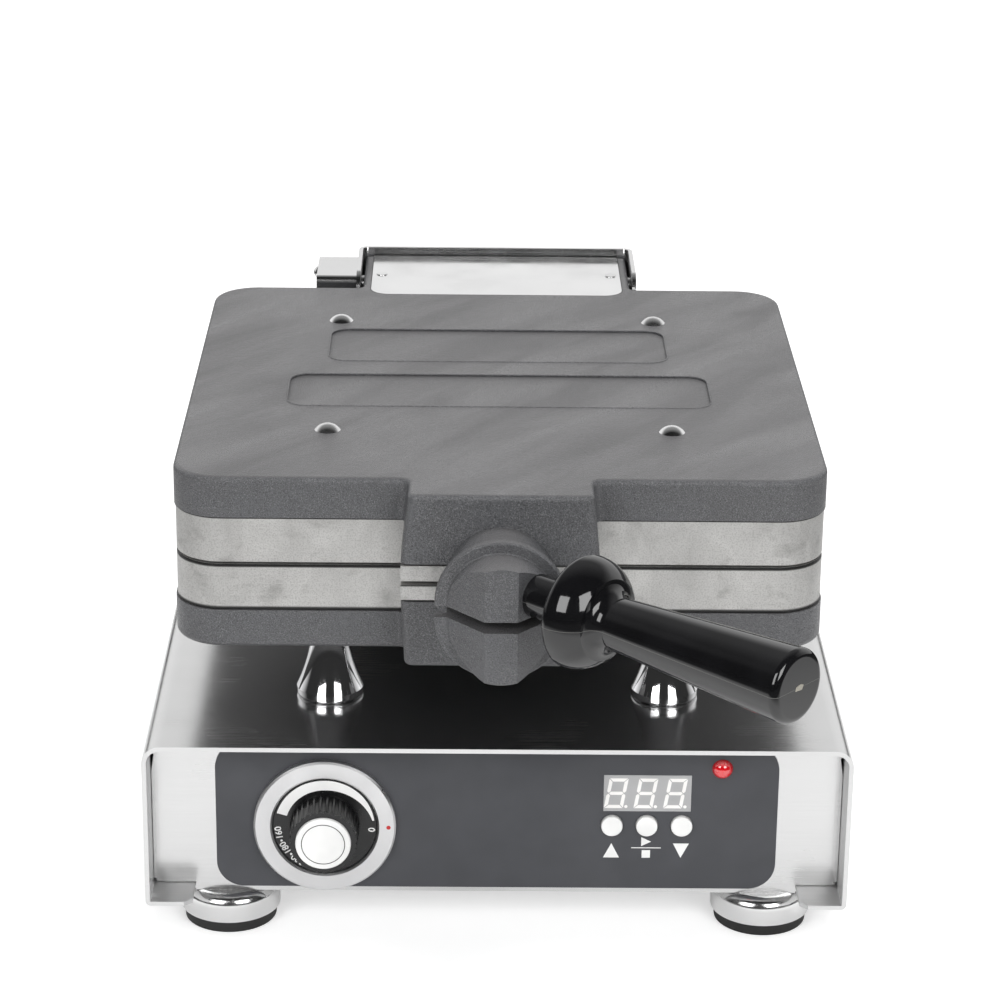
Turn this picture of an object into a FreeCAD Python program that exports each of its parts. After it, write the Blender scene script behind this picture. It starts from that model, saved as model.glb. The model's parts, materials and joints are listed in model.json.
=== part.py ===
import FreeCAD, Part
import Sketcher
import os
import re

# Driving dimensions in millimetres and degrees.
# X runs to the right of the middle, Y back from the front edge of the base, Z up from the floor.
SIZES = {
    # Gaps between pieces
    "fit_gap": 0.1,
    "running_gap": 0.05,
    "clear_gap": 0.3,
    # Folded sheet base
    "base_width": 305.0,
    "rear_ledge": 10.5,
    "shell_height": 76.0,
    "shell_sheet": 2.0,
    "shell_bend": 8.0,
    "flange_width": 20.2,
    "flange_bend": 2.5,
    "flange_corner": 3.5,
    "pan_sheet": 1.5,
    "rear_recess": 12.0,
    "pan_screw_radius": 2.0,
    "pan_screw_head": 3.8,
    "pan_screw_head_height": 2.0,
    "pan_screw_tip": 3.8,
    "pan_screw_inset": 66.0,
    # Control panel
    "panel_recess": 18.5,
    "panel_bend": 2.5,
    "panel_return": 14.0,
    "panel_side_gap": 0.3,
    "panel_relief": 7.0,
    "panel_relief_drop": 27.0,
    "overlay_sheet": 0.8,
    "overlay_side": 30.0,
    "overlay_low": 2.4,
    "overlay_high": 3.6,
    "overlay_corner": 12.0,
    "control_inset": 57.0,
    "lens_width": 38.1,
    "lens_height": 17.3,
    "lens_rise": 11.0,
    "lens_ledge": 1.2,
    "board_gap": 8.0,
    "board_sheet": 1.6,
    "board_width": 50.0,
    "board_height": 48.0,
    "board_drop": 2.0,
    "standoff_radius": 2.5,
    "standoff_inset": 3.0,
    "switch_side": 6.2,
    "switch_height": 3.5,
    "lamp_inset": 24.7,
    "lamp_rise": 22.9,
    "lamp_radius": 4.6,
    "lamp_dome": 3.2,
    "lamp_stem": 3.6,
    "lamp_length": 12.0,
    "lamp_nut": 6.0,
    "lamp_nut_height": 3.0,
    # Timer buttons
    "button_pitch": 15.25,
    "button_drop": 4.4,
    "button_radius": 4.7,
    "button_proud": 2.0,
    "button_edge": 0.7,
    "button_flange": 1.3,
    "button_flange_sheet": 1.2,
    "button_stem": 2.4,
    "button_travel": 0.8,
    # Thermostat dial
    "dial_inset": 47.5,
    "dial_drop": 4.6,
    "bezel_radius": 31.0,
    "bezel_width": 8.0,
    "bezel_height": 3.6,
    "bezel_bevel": 0.8,
    "skirt_gap": 0.6,
    "skirt_sheet": 1.8,
    "knob_radius": 15.2,
    "knob_taper": 0.6,
    "knob_reach": 16.5,
    "knurl_count": 32.0,
    "knurl_radius": 1.1,
    "knurl_lip": 1.5,
    "cap_radius": 12.0,
    "cap_recess": 1.6,
    "cap_height": 3.2,
    "cap_edge": 0.8,
    "shaft_radius": 3.0,
    "shaft_in_knob": 14.0,
    "bush_radius": 5.2,
    "thermostat_width": 44.0,
    "thermostat_height": 36.0,
    "thermostat_depth": 30.0,
    "shaft_in_body": 20.0,
    # Supply side
    "gland_inset": 52.5,
    "gland_z": 46.0,
    "gland_radius": 8.0,
    "gland_flange": 12.5,
    "gland_reach": 11.0,
    "gland_flange_height": 3.7,
    "gland_shoulder": 5.5,
    "gland_nose": 6.1,
    "gland_nut_height": 4.0,
    "gland_bore": 4.2,
    "block_inset": 92.5,
    "block_back": 94.0,
    "block_width": 46.0,
    "block_depth": 22.0,
    "block_height": 18.0,
    "block_well": 4.0,
    "block_well_depth": 9.0,
    "block_pitch_x": 15.3,
    "block_pitch_y": 11.0,
    # Feet
    "foot_height": 17.5,
    "foot_inset_x": 34.7,
    "foot_inset_y": 32.0,
    "pad_height": 5.5,
    "pad_radius": 20.9,
    "pad_taper": 0.7,
    "cup_radius": 22.0,
    "cup_round": 5.0,
    "cup_sheet": 1.2,
    "foot_screw_radius": 3.0,
    "foot_screw_head": 6.0,
    "foot_screw_low": 2.75,
    "foot_nut": 5.0,
    # Support legs
    "leg_height": 41.0,
    "leg_pitch_x": 148.0,
    "leg_pitch_y": 182.0,
    "leg_top_radius": 7.6,
    "leg_rim_radius": 14.8,
    "leg_rim_height": 4.0,
    "leg_flare": 80.0,
    "leg_edge": 1.6,
    "stud_radius": 3.0,
    "stud_nut": 5.5,
    # Baking head
    "head_front": 13.4,
    "head_width": 277.2,
    "head_depth": 273.2,
    "head_corner": 21.0,
    "lower_case_height": 17.0,
    "upper_case_height": 18.0,
    "case_wall": 5.0,
    "case_edge": 2.4,
    "plate_thickness": 20.6,
    "plate_inset": 0.6,
    "plate_edge": 0.6,
    "parting_gap": 0.8,
    "grid_radius": 104.0,
    "grid_pitch": 13.0,
    "groove_width": 2.4,
    "groove_depth": 1.4,
    "heater_radius": 82.0,
    "heater_tube": 4.0,
    "heater_sweep": 330.0,
    "screw_radius": 2.5,
    "screw_head": 4.8,
    "screw_dome": 2.4,
    "screw_round": 1.9,
    "screw_nut": 4.8,
    "lid_screw_head": 5.7,
    "lid_screw_dome": 2.8,
    "screw_grip": 9.0,
    "screw_pitch_x": 150.0,
    "screw_pitch_y": 157.2,
    "screw_lead": 61.1,
    "lower_screw_pitch_x": 210.0,
    "lower_screw_pitch_y": 190.0,
    "recess_depth": 0.9,
    "recess_corner": 9.0,
    "front_recess_half": 95.0,
    "front_recess_lead": 92.5,
    "front_recess_length": 44.8,
    "rear_recess_half": 79.0,
    "rear_recess_lead": 156.2,
    "rear_recess_length": 48.7,
    # Front lugs and the split boss that carries the handle
    "lug_reach": 19.9,
    "lug_top_half": 38.5,
    "lug_mid_half": 41.6,
    "lug_low_half": 40.0,
    "plate_lug": 6.8,
    "plate_lug_step": 0.4,
    "lug_step": 0.9,
    "lug_edge": 3.5,
    "lug_root": 3.5,
    "boss_offset": 3.0,
    "boss_split": 2.4,
    "boss_radius": 22.2,
    "boss_reach": 47.0,
    "ring_radius": 27.2,
    "ring_width": 4.5,
    "ring_edge": 0.8,
    "facet_half": 6.7,
    # Handle
    "handle_angle": 47.5,
    "handle_rise": 10.9,
    "handle_length": 132.0,
    "rod_radius": 5.0,
    "rod_in_boss": 12.0,
    "rod_in_grip": 70.0,
    "sleeve_radius": 9.1,
    "sleeve_length": 21.0,
    "guard_radius": 23.5,
    "guard_rim": 3.4,
    "guard_dome": 13.0,
    "guard_curve": 17.0,
    "neck_radius": 10.9,
    "neck_blend": 6.0,
    "grip_radius": 15.2,
    "grip_edge": 3.0,
    # Rear hinge
    "hinge_back": 29.4,
    "hinge_drop": 7.0,
    "lid_angle": 95.0,
    "pin_radius": 4.0,
    "pin_head": 6.0,
    "pin_head_height": 3.0,
    "tail_half": 66.5,
    "tail_under": 9.0,
    "tail_back": 26.0,
    "tail_side_gap": 1.5,
    "tail_root": 4.0,
    "swing_gap": 0.6,
    "cover_margin": 4.2,
    "cover_sheet": 2.0,
    "cover_lead": 11.6,
    "cover_corner": 9.0,
    "cover_screw_inset": 4.8,
    "cover_screw_lead": 7.0,
    "cover_screw_radius": 1.5,
    "cover_screw_head": 2.8,
    "cover_screw_dome": 0.4,
    "cover_screw_round": 0.3,
    "cover_screw_grip": 2.4,
    "bracket_sheet": 2.0,
    "bracket_lead": 23.0,
    "bracket_rise": 4.0,
    "bracket_bend": 5.0,
    "bracket_corner": 10.0,
    "bracket_screw_side": 18.0,
    "bracket_screw_inset": 12.0,
    "stop_radius": 4.0,
    "stop_drop": 17.0,
    "duct_width": 20.0,
    "duct_depth": 35.0,
    "duct_lead": 19.0,
    "duct_rise": 2.0,
    "duct_sheet": 1.2,
    "duct_bend": 3.0,
    "wire_hole_radius": 7.0,
    "duct_screw_back": 25.0,
    "duct_screw_drop": 5.0,
    "duct_screw_radius": 1.5,
    "duct_screw_head": 3.2,
    "duct_screw_dome": 2.4,
    "duct_screw_nut": 2.0,
    "duct_screw_tip": 5.0,
}

# Places worked out from the driving dimensions
LAYOUT = {
    "half_base": "base_width / 2",
    "inner_half": "half_base - shell_sheet",
    "flange_edge": "half_base - flange_width",
    "shell_bottom": "foot_height + pan_sheet",
    "flange_top": "shell_bottom + shell_sheet",
    "shell_top": "shell_bottom + shell_height",
    "shell_under": "shell_top - shell_sheet",
    "half_head": "head_width / 2",
    "head_rear": "head_front + head_depth",
    "head_mid": "head_front + head_depth / 2",
    "case_low": "shell_top + leg_height",
    "plate_low": "case_low + lower_case_height",
    "plate_top": "plate_low + plate_thickness",
    "parting": "plate_top + parting_gap / 2",
    "lid_low": "plate_top + parting_gap",
    "lid_case": "lid_low + plate_thickness",
    "lid_top": "lid_case + upper_case_height",
    "hinge_y": "head_rear + hinge_back",
    "hinge_z": "lid_top - hinge_drop",
    "tail_low": "hinge_z - tail_under",
    "tail_end": "hinge_y + tail_back",
    "cover_half": "tail_half - cover_margin",
    "cover_screw_half": "cover_half - cover_screw_inset",
    "bracket_inner": "tail_half + tail_side_gap",
    "bracket_screw_x": "bracket_inner - bracket_screw_side",
    "bracket_half": "bracket_inner + bracket_sheet",
    "bracket_front": "hinge_y - bracket_lead",
    "bracket_inside": "hinge_y + sqrt(tail_back ^ 2 + hinge_drop ^ 2) + swing_gap",
    "bracket_rear": "bracket_inside + bracket_sheet",
    "bracket_top": "lid_top + bracket_rise",
    "stop_reach": "tail_under + stop_radius + clear_gap - cos(lid_angle) * stop_drop",
    "stop_y": "hinge_y - stop_reach / sin(lid_angle)",
    "stop_z": "hinge_z - stop_drop",
    "duct_left": "bracket_half + duct_width",
    "duct_front": "hinge_y - duct_lead",
    "duct_back": "duct_front + duct_depth",
    "duct_top": "lid_top + duct_rise",
    "base_depth": "bracket_rear + rear_ledge",
    "rear_face": "base_depth - rear_recess",
    "rear_inside": "rear_face - pan_sheet",
    "gland_x": "half_base - gland_inset",
    "block_x": "half_base - block_inset",
    "block_y": "rear_face - block_back",
    "panel_back": "panel_recess + pan_sheet",
    "panel_half": "inner_half - panel_side_gap",
    "panel_top": "shell_under - clear_gap",
    "panel_mid": "(foot_height + panel_top) / 2",
    "overlay_front": "panel_recess - overlay_sheet",
    "overlay_half": "half_base - overlay_side",
    "control_x": "overlay_half - control_inset",
    "lens_z": "panel_mid + lens_rise",
    "button_z": "panel_mid - button_drop",
    "board_front": "panel_back + board_gap",
    "board_z": "panel_mid - board_drop",
    "switch_front": "board_front - switch_height",
    "lamp_x": "overlay_half - lamp_inset",
    "lamp_z": "panel_mid + lamp_rise",
    "dial_x": "dial_inset - overlay_half",
    "dial_z": "panel_mid - dial_drop",
    "skirt_radius": "bezel_radius - bezel_width - skirt_gap",
    "skirt_low": "overlay_sheet + clear_gap",
    "knob_low": "skirt_low + skirt_sheet",
    "knob_top": "knob_low + knob_reach",
    "foot_x": "half_base - foot_inset_x",
    "foot_back": "base_depth - foot_inset_y",
    "leg_x": "leg_pitch_x / 2",
    "leg_front": "head_mid - leg_pitch_y / 2",
    "leg_back": "head_mid + leg_pitch_y / 2",
    "screw_x": "screw_pitch_x / 2",
    "screw_front": "head_front + screw_lead",
    "screw_back": "screw_front + screw_pitch_y",
    "lug_front": "head_front - lug_reach",
    "boss_front": "lug_front - boss_reach",
    "ring_front": "boss_front + (boss_radius - facet_half) * tan(handle_angle)",
    "facet_x": "(facet_half + boss_radius) / 2",
    "facet_y": "(boss_front + ring_front) / 2",
    "handle_z": "parting + handle_rise",
    "grip_turn": "grip_edge + (handle_length - grip_edge) * cos(handle_angle)",
    "front_reach": "facet_y - grip_turn - (grip_radius - grip_edge) * sin(handle_angle)",
    "origin_y": "(front_reach + base_depth) / 2",
}

NEAR = 0.01
SIDES = (-1, 1)
FRONT_FACING = FreeCAD.Rotation(FreeCAD.Vector(1, 0, 0), 90)
REAR_FACING = FreeCAD.Rotation(FreeCAD.Vector(1, 0, 0), -90)

doc = FreeCAD.newDocument("waffle_cone_maker")
size_sheet = doc.addObject("Spreadsheet::Sheet", "Sizes")
layout_sheet = doc.addObject("Spreadsheet::Sheet", "Layout")
subparts = []


# Sheets and formulas


def formula(text, own_sheet=None):
    """Point each plain size name in a formula at the sheet that holds it."""

    def reference(match):
        word = match.group(0)
        if word in SIZES:
            return "Sizes." + word
        if word in LAYOUT and own_sheet is not layout_sheet:
            return "Layout." + word
        return word

    return re.sub(r"[A-Za-z_]\w*", reference, str(text))


def number(text):
    """Present value of a formula."""
    return float(size_sheet.evalExpression(formula(text)))


def fill_sheets():
    """Write the driving dimensions as plain numbers and the worked-out places as formulas."""
    for row, (alias, value) in enumerate(SIZES.items(), start=1):
        size_sheet.set("A%d" % row, alias)
        size_sheet.set("B%d" % row, str(value))
        size_sheet.setAlias("B%d" % row, alias)
    for row, (alias, text) in enumerate(LAYOUT.items(), start=1):
        layout_sheet.set("A%d" % row, alias)
        layout_sheet.set("B%d" % row, "=" + formula(text, layout_sheet))
        layout_sheet.setAlias("B%d" % row, alias)
    doc.recompute()


# Bodies, sketches and features


def new_body(label, x="0", y="0", z="0", turn=None):
    """A sub-part whose own origin stands at x, y, z, turned as given."""
    body = doc.addObject("PartDesign::Body", label)
    body.Label = label
    if turn:
        body.Placement = FreeCAD.Placement(FreeCAD.Vector(), turn)
    body.setExpression("Placement.Base.x", formula(x))
    body.setExpression("Placement.Base.y", formula("%s - origin_y" % y))
    body.setExpression("Placement.Base.z", formula(z))
    subparts.append(body)
    return body


def new_sketch(body, plane, offset="0"):
    """A sketch on one of the body's own planes, moved along the axis that is square to it."""
    sketch = body.newObject("Sketcher::SketchObject", "Sketch")
    origin_plane = [item for item in body.Origin.OriginFeatures if item.Role == plane + "_Plane"][0]
    sketch.AttachmentSupport = [(origin_plane, "")]
    sketch.MapMode = "FlatFace"
    sign = "-1" if plane == "XZ" else "1"
    sketch.setExpression("AttachmentOffset.Base.z", formula("%s * (%s)" % (sign, offset)))
    return sketch


def hold(sketch, rules):
    """Add constraints, each a (kind, geometry, point, formula), and bind them to their formulas."""
    constraints = []
    for kind, item, point, text in rules:
        if kind == "Radius":
            constraints.append(Sketcher.Constraint(kind, item, number(text)))
        else:
            constraints.append(Sketcher.Constraint(kind, -1, 1, item, point, number(text)))
    indices = sketch.addConstraint(constraints)
    for index, rule in zip(indices, rules):
        sketch.setExpression("Constraints[%d]" % index, formula(rule[3]))


def arc_between(start, end, radius):
    """Short arc from start to end: left-hand turn for a positive radius, right-hand for a negative."""
    chord = end.sub(start)
    across = FreeCAD.Vector(-chord.y, chord.x, 0).normalize()
    rise = (radius ** 2 - (chord.Length / 2) ** 2) ** 0.5
    side = 1 if radius > 0 else -1
    centre = start.add(end).multiply(0.5).add(across.multiply(side * rise))
    first, last = (start, end) if radius > 0 else (end, start)
    x_axis = FreeCAD.Vector(1, 0, 0)
    angles = []
    for point in (first, last):
        spoke = point.sub(centre)
        angle = x_axis.getAngle(spoke)
        angles.append(angle if spoke.y >= 0 else -angle)
    circle = Part.Circle(centre, FreeCAD.Vector(0, 0, 1), abs(radius))
    return Part.ArcOfCircle(circle, angles[0], angles[1])


def draw_outline(sketch, corners):
    """Closed outline: each corner is (u, v), or (u, v, radius) where an arc leads to the next one."""
    first = sketch.GeometryCount
    places = [FreeCAD.Vector(number(corner[0]), number(corner[1]), 0) for corner in corners]
    pieces = []
    ends = []
    for index, corner in enumerate(corners):
        start = places[index]
        end = places[(index + 1) % len(corners)]
        bend = number(corner[2]) if len(corner) == 3 else 0
        if bend:
            pieces.append(arc_between(start, end, bend))
        else:
            pieces.append(Part.LineSegment(start, end))
        ends.append((2, 1) if bend < 0 else (1, 2))
    sketch.addGeometry(pieces)
    joins = []
    rules = []
    for index, corner in enumerate(corners):
        item = first + index
        following = (index + 1) % len(corners)
        meeting = (item, ends[index][1], first + following, ends[following][0])
        joins.append(Sketcher.Constraint("Coincident", *meeting))
        rules.append(("DistanceX", item, ends[index][0], corner[0]))
        rules.append(("DistanceY", item, ends[index][0], corner[1]))
        if len(corner) == 3:
            rules.append(("Radius", item, 0, "abs(%s)" % corner[2]))
    sketch.addConstraint(joins)
    hold(sketch, rules)


def draw_circles(sketch, circles):
    """Circles, each (u, v, radius)."""
    for u, v, radius in circles:
        centre = FreeCAD.Vector(number(u), number(v), 0)
        item = sketch.addGeometry(Part.Circle(centre, FreeCAD.Vector(0, 0, 1), number(radius)))
        hold(sketch, [("DistanceX", item, 3, u), ("DistanceY", item, 3, v), ("Radius", item, 0, radius)])


def rectangle(left, right, low, high):
    """Outline of an upright rectangle."""
    return [(left, low), (right, low), (right, high), (left, high)]


def rounded(left, right, low, high, radii):
    """Outline of a rectangle with rounded corners: radii run round from low left, None for a sharp one."""
    low_left, low_right, high_right, high_left = radii
    corners = []
    if low_left:
        corners.append((left, "(%s) + %s" % (low, low_left), low_left))
        corners.append(("(%s) + %s" % (left, low_left), low))
    else:
        corners.append((left, low))
    if low_right:
        corners.append(("(%s) - %s" % (right, low_right), low, low_right))
        corners.append((right, "(%s) + %s" % (low, low_right)))
    else:
        corners.append((right, low))
    if high_right:
        corners.append((right, "(%s) - %s" % (high, high_right), high_right))
        corners.append(("(%s) - %s" % (right, high_right), high))
    else:
        corners.append((right, high))
    if high_left:
        corners.append(("(%s) + %s" % (left, high_left), high, high_left))
        corners.append((left, "(%s) - %s" % (high, high_left)))
    else:
        corners.append((left, high))
    return corners


def extrude(kind, body, plane, offset, low, high, outlines, circles):
    sketch = new_sketch(body, plane, offset)
    for outline in outlines:
        draw_outline(sketch, outline)
    draw_circles(sketch, circles)
    feature = body.newObject("PartDesign::" + kind, kind)
    feature.Profile = sketch
    feature.setExpression("Length", formula("(%s) - (%s)" % (high, low)))
    return feature


def pad(body, plane, low, high, outlines=(), circles=()):
    """Add material from low to high along the axis that is square to the plane."""
    offset = high if plane == "XZ" else low
    return extrude("Pad", body, plane, offset, low, high, outlines, circles)


def pocket(body, plane, low, high, outlines=(), circles=()):
    """Take material away from low to high along the axis that is square to the plane."""
    offset = low if plane == "XZ" else high
    return extrude("Pocket", body, plane, offset, low, high, outlines, circles)


def spin(body, corners, x="0", y="0"):
    """Turn an outline of (radius, height) corners about an upright axis at x, y in the body."""
    sketch = new_sketch(body, "XZ", y)
    sketch.setExpression("AttachmentOffset.Base.x", formula(x))
    draw_outline(sketch, corners)
    feature = body.newObject("PartDesign::Revolution", "Revolution")
    feature.Profile = sketch
    feature.ReferenceAxis = (sketch, ["V_Axis"])
    return feature


def spin_along_x(body, corners):
    """Turn an outline of (distance, radius) corners about the body's own X axis."""
    sketch = new_sketch(body, "XY")
    draw_outline(sketch, corners)
    feature = body.newObject("PartDesign::Revolution", "Revolution")
    feature.Profile = sketch
    feature.ReferenceAxis = (sketch, ["H_Axis"])
    return feature


# Edge choosers and edge treatments


def straight(axis, **where):
    """Chooser of straight edges along an axis with their middle at the given coordinates."""
    wanted = {key: [number(text) for text in texts] for key, texts in where.items()}

    def chosen(edge):
        if not isinstance(edge.Curve, Part.Line):
            return False
        if abs(getattr(edge.tangentAt(edge.FirstParameter), axis)) < 1 - NEAR:
            return False
        middle = edge.CenterOfMass
        for key, values in wanted.items():
            if min(abs(getattr(middle, key) - value) for value in values) > NEAR:
                return False
        return True

    return chosen


def flat(axis, *places):
    """Chooser of edges that lie in a plane square to an axis, at any of the given places."""
    values = [number(place) for place in places]

    def chosen(edge):
        bounds = edge.BoundBox
        low = getattr(bounds, axis.upper() + "Min")
        high = getattr(bounds, axis.upper() + "Max")
        return any(abs(low - value) < NEAR and abs(high - value) < NEAR for value in values)

    return chosen


def treat_edges(kind, size_name, body, size, chosen):
    doc.recompute()
    base = body.Tip
    names = ["Edge%d" % count for count, edge in enumerate(base.Shape.Edges, start=1) if chosen(edge)]
    feature = body.newObject("PartDesign::" + kind, kind)
    feature.Base = (base, names)
    feature.setExpression(size_name, formula(size))
    return feature


def round_edges(body, radius, chosen):
    return treat_edges("Fillet", "Radius", body, radius, chosen)


def chamfer_edges(body, size, chosen):
    return treat_edges("Chamfer", "Size", body, size, chosen)


def four_places(x, front, back):
    """Plan places at both sides, front and back."""
    return [("%d * %s" % (side, x), y) for side in SIDES for y in (front, back)]


def four_circles(x, front, back, radius):
    return [(u, v, radius) for u, v in four_places(x, front, back)]


def leg_circles(radius):
    return four_circles("leg_x", "leg_front", "leg_back", radius)


def foot_circles(radius):
    return four_circles("foot_x", "foot_inset_y", "foot_back", radius)


def head_screw_circles(radius):
    return four_circles("screw_x", "screw_front", "screw_back", radius)


def lower_screw_circles(radius):
    front = "(head_mid - lower_screw_pitch_y / 2)"
    back = "(head_mid + lower_screw_pitch_y / 2)"
    return four_circles("lower_screw_pitch_x / 2", front, back, radius)


def bracket_screw_circles(radius):
    front = "(bracket_front + bracket_screw_inset)"
    back = "(bracket_inside - bracket_screw_inset)"
    return four_circles("bracket_screw_x", front, back, radius)


def pan_screw_circles(radius):
    x = "(half_base - flange_width / 2)"
    places = four_places(x, "pan_screw_inset", "base_depth - pan_screw_inset")
    places += [("%d * %s" % (side, x), "base_depth / 2") for side in SIDES]
    return [(u, v, radius) for u, v in places]


# Base


def base_shell():
    """Top and sides of the base, one folded sheet with flanges turned in along the bottom."""
    body = new_body("base_shell")
    bends = ("flange_bend", "flange_bend", "shell_bend", "shell_bend")
    outside = rounded("-half_base", "half_base", "shell_bottom", "shell_top", bends)
    pad(body, "XZ", "0", "base_depth", [outside])
    inner_bends = ["(%s - shell_sheet)" % bend for bend in bends]
    inside = rounded("-inner_half", "inner_half", "flange_top", "shell_under", inner_bends)
    pocket(body, "XZ", "0", "base_depth", [inside])
    slot = rectangle("-flange_edge", "flange_edge", "shell_bottom", "flange_top")
    pocket(body, "XZ", "0", "base_depth", [slot])
    corners = straight("z", x=("-flange_edge", "flange_edge"), y=("0", "base_depth"))
    chamfer_edges(body, "flange_corner", corners)
    pocket(body, "XY", "shell_under", "shell_top", circles=leg_circles("stud_radius + fit_gap"))
    pocket(body, "XY", "shell_under", "shell_top", circles=bracket_screw_circles("screw_radius + fit_gap"))
    wire_hole = [("-bracket_half - duct_width / 2", "(duct_front + duct_back) / 2", "wire_hole_radius")]
    pocket(body, "XY", "shell_under", "shell_top", circles=wire_hole)
    pocket(body, "XY", "shell_bottom", "flange_top", circles=pan_screw_circles("pan_screw_radius + fit_gap"))


def base_pan():
    """Bottom plate that the shell's flanges stand on, and the rear panel that stands on the plate."""
    sides = ("clear_gap - inner_half", "inner_half - clear_gap")
    body = new_body("base_pan")
    pad(body, "XY", "foot_height", "shell_bottom", [rectangle(*sides, "panel_back", "rear_face")])
    pocket(body, "XY", "foot_height", "shell_bottom", circles=foot_circles("foot_screw_radius + fit_gap"))
    pocket(body, "XY", "foot_height", "shell_bottom", circles=pan_screw_circles("pan_screw_radius + fit_gap"))

    rear = new_body("rear_panel")
    bends = (None, None, "shell_bend", "shell_bend")
    pad(rear, "XZ", "rear_inside", "rear_face", [rounded(*sides, "shell_bottom", "panel_top", bends)])
    for side in SIDES:
        edges = ["%d * (flange_edge - clear_gap)" % side, "%d * half_base" % side]
        notch = rectangle(edges[0], edges[1], "shell_bottom", "flange_top + flange_bend")
        pocket(rear, "XZ", "rear_inside", "rear_face", [notch])
    gland_hole = [("gland_x", "gland_z", "gland_radius + fit_gap")]
    pocket(rear, "XZ", "rear_inside", "rear_face", circles=gland_hole)


def button_places():
    """Names and X places of the three timer buttons."""
    names = ("button_up", "button_start", "button_down")
    return [(name, "(control_x + %d * button_pitch)" % step) for name, step in zip(names, (-1, 0, 1))]


def panel_holes():
    """Round holes that the panel and its overlay share."""
    holes = [("dial_x", "dial_z", "bush_radius + fit_gap"), ("lamp_x", "lamp_z", "lamp_stem + fit_gap")]
    holes += [(x, "button_z", "button_radius + clear_gap") for name, x in button_places()]
    return holes


def window(margin):
    """Outline of the display window, grown by a margin on every side."""
    across = "(lens_width / 2 + (%s))" % margin
    upright = "(lens_height / 2 + (%s))" % margin
    sides = ("control_x - " + across, "control_x + " + across)
    return rectangle(*sides, "lens_z - " + upright, "lens_z + " + upright)


def front_panel():
    """Recessed control panel with sides bent back, notched round the shell's flanges."""
    body = new_body("front_panel")
    back = "(panel_recess + panel_return)"
    plan = [
        ("-panel_half", "panel_recess"),
        ("panel_half", "panel_recess"),
        ("panel_half", back),
        ("panel_half - pan_sheet", back),
        ("panel_half - pan_sheet", "panel_back"),
        ("pan_sheet - panel_half", "panel_back"),
        ("pan_sheet - panel_half", back),
        ("-panel_half", back),
    ]
    pad(body, "XY", "foot_height", "panel_top", [plan])
    round_edges(body, "panel_bend", straight("z", x=("-panel_half", "panel_half"), y=("panel_recess",)))
    inner = ("pan_sheet - panel_half", "panel_half - pan_sheet")
    round_edges(body, "panel_bend - pan_sheet", straight("z", x=inner, y=("panel_back",)))
    for side in SIDES:
        edges = ["%d * (flange_edge - clear_gap)" % side, "%d * half_base" % side]
        notch = rectangle(edges[0], edges[1], "foot_height", "flange_top + clear_gap")
        relief = [
            ("%d * (panel_half - panel_relief)" % side, "panel_top"),
            (edges[1], "panel_top"),
            (edges[1], "panel_top - panel_relief_drop"),
            ("%d * panel_half" % side, "panel_top - panel_relief_drop"),
        ]
        pocket(body, "XZ", "panel_recess", back, [notch, relief])
    pocket(body, "XZ", "panel_recess", "panel_back", [window("-lens_ledge")], panel_holes())


def control_overlay():
    """Charcoal overlay on the panel's face."""
    body = new_body("control_overlay")
    low = "(foot_height + overlay_low)"
    high = "(panel_top - overlay_high)"
    face = rounded("-overlay_half", "overlay_half", low, high, ["overlay_corner"] * 4)
    pad(body, "XZ", "overlay_front", "panel_recess", [face])
    pocket(body, "XZ", "overlay_front", "panel_recess", [window("fit_gap")], panel_holes())


def display():
    """Timer display: the lens in the overlay, the digit module behind it and its board."""
    lens = new_body("display_lens")
    pad(lens, "XZ", "overlay_front", "panel_recess", [window("0")])
    module = new_body("display_module")
    pad(module, "XZ", "panel_recess", "panel_back", [window("-lens_ledge - fit_gap")])
    pad(module, "XZ", "panel_back", "board_front", [window("0")])
    board = new_body("timer_board")
    across = "board_width / 2"
    upright = "board_height / 2"
    edges = ["control_x - " + across, "control_x + " + across, "board_z - " + upright, "board_z + " + upright]
    pad(board, "XZ", "board_front", "board_front + board_sheet", [rectangle(*edges)])
    standoffs = new_body("board_standoffs")
    posts = []
    for side in SIDES:
        for end in SIDES:
            x = "control_x + %d * (board_width / 2 - standoff_inset)" % side
            z = "board_z + %d * (board_height / 2 - standoff_inset)" % end
            posts.append((x, z, "standoff_radius"))
    pad(standoffs, "XZ", "panel_back", "board_front", circles=posts)


def buttons():
    """Three round timer buttons, each kept behind the panel by its flange, and their switches."""
    switches = new_body("button_switches")
    half = "switch_side / 2"
    squares = []
    for name, x in button_places():
        sides = (x + " - " + half, x + " + " + half)
        squares.append(rectangle(*sides, "button_z - " + half, "button_z + " + half))
    pad(switches, "XZ", "switch_front", "board_front", squares)
    flange_top = "(-pan_sheet - clear_gap)"
    flange_low = "(%s - button_flange_sheet)" % flange_top
    stem_low = "(panel_recess - switch_front + button_travel + clear_gap)"
    proud = "(overlay_sheet + button_proud)"
    for name, x in button_places():
        body = new_body(name, x, "panel_recess", "button_z", FRONT_FACING)
        pad(body, "XY", flange_top, proud, circles=[("0", "0", "button_radius")])
        round_edges(body, "button_edge", flat("z", proud))
        pad(body, "XY", flange_low, flange_top, circles=[("0", "0", "button_radius + button_flange")])
        pad(body, "XY", stem_low, flange_low, circles=[("0", "0", "button_stem")])


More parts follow.
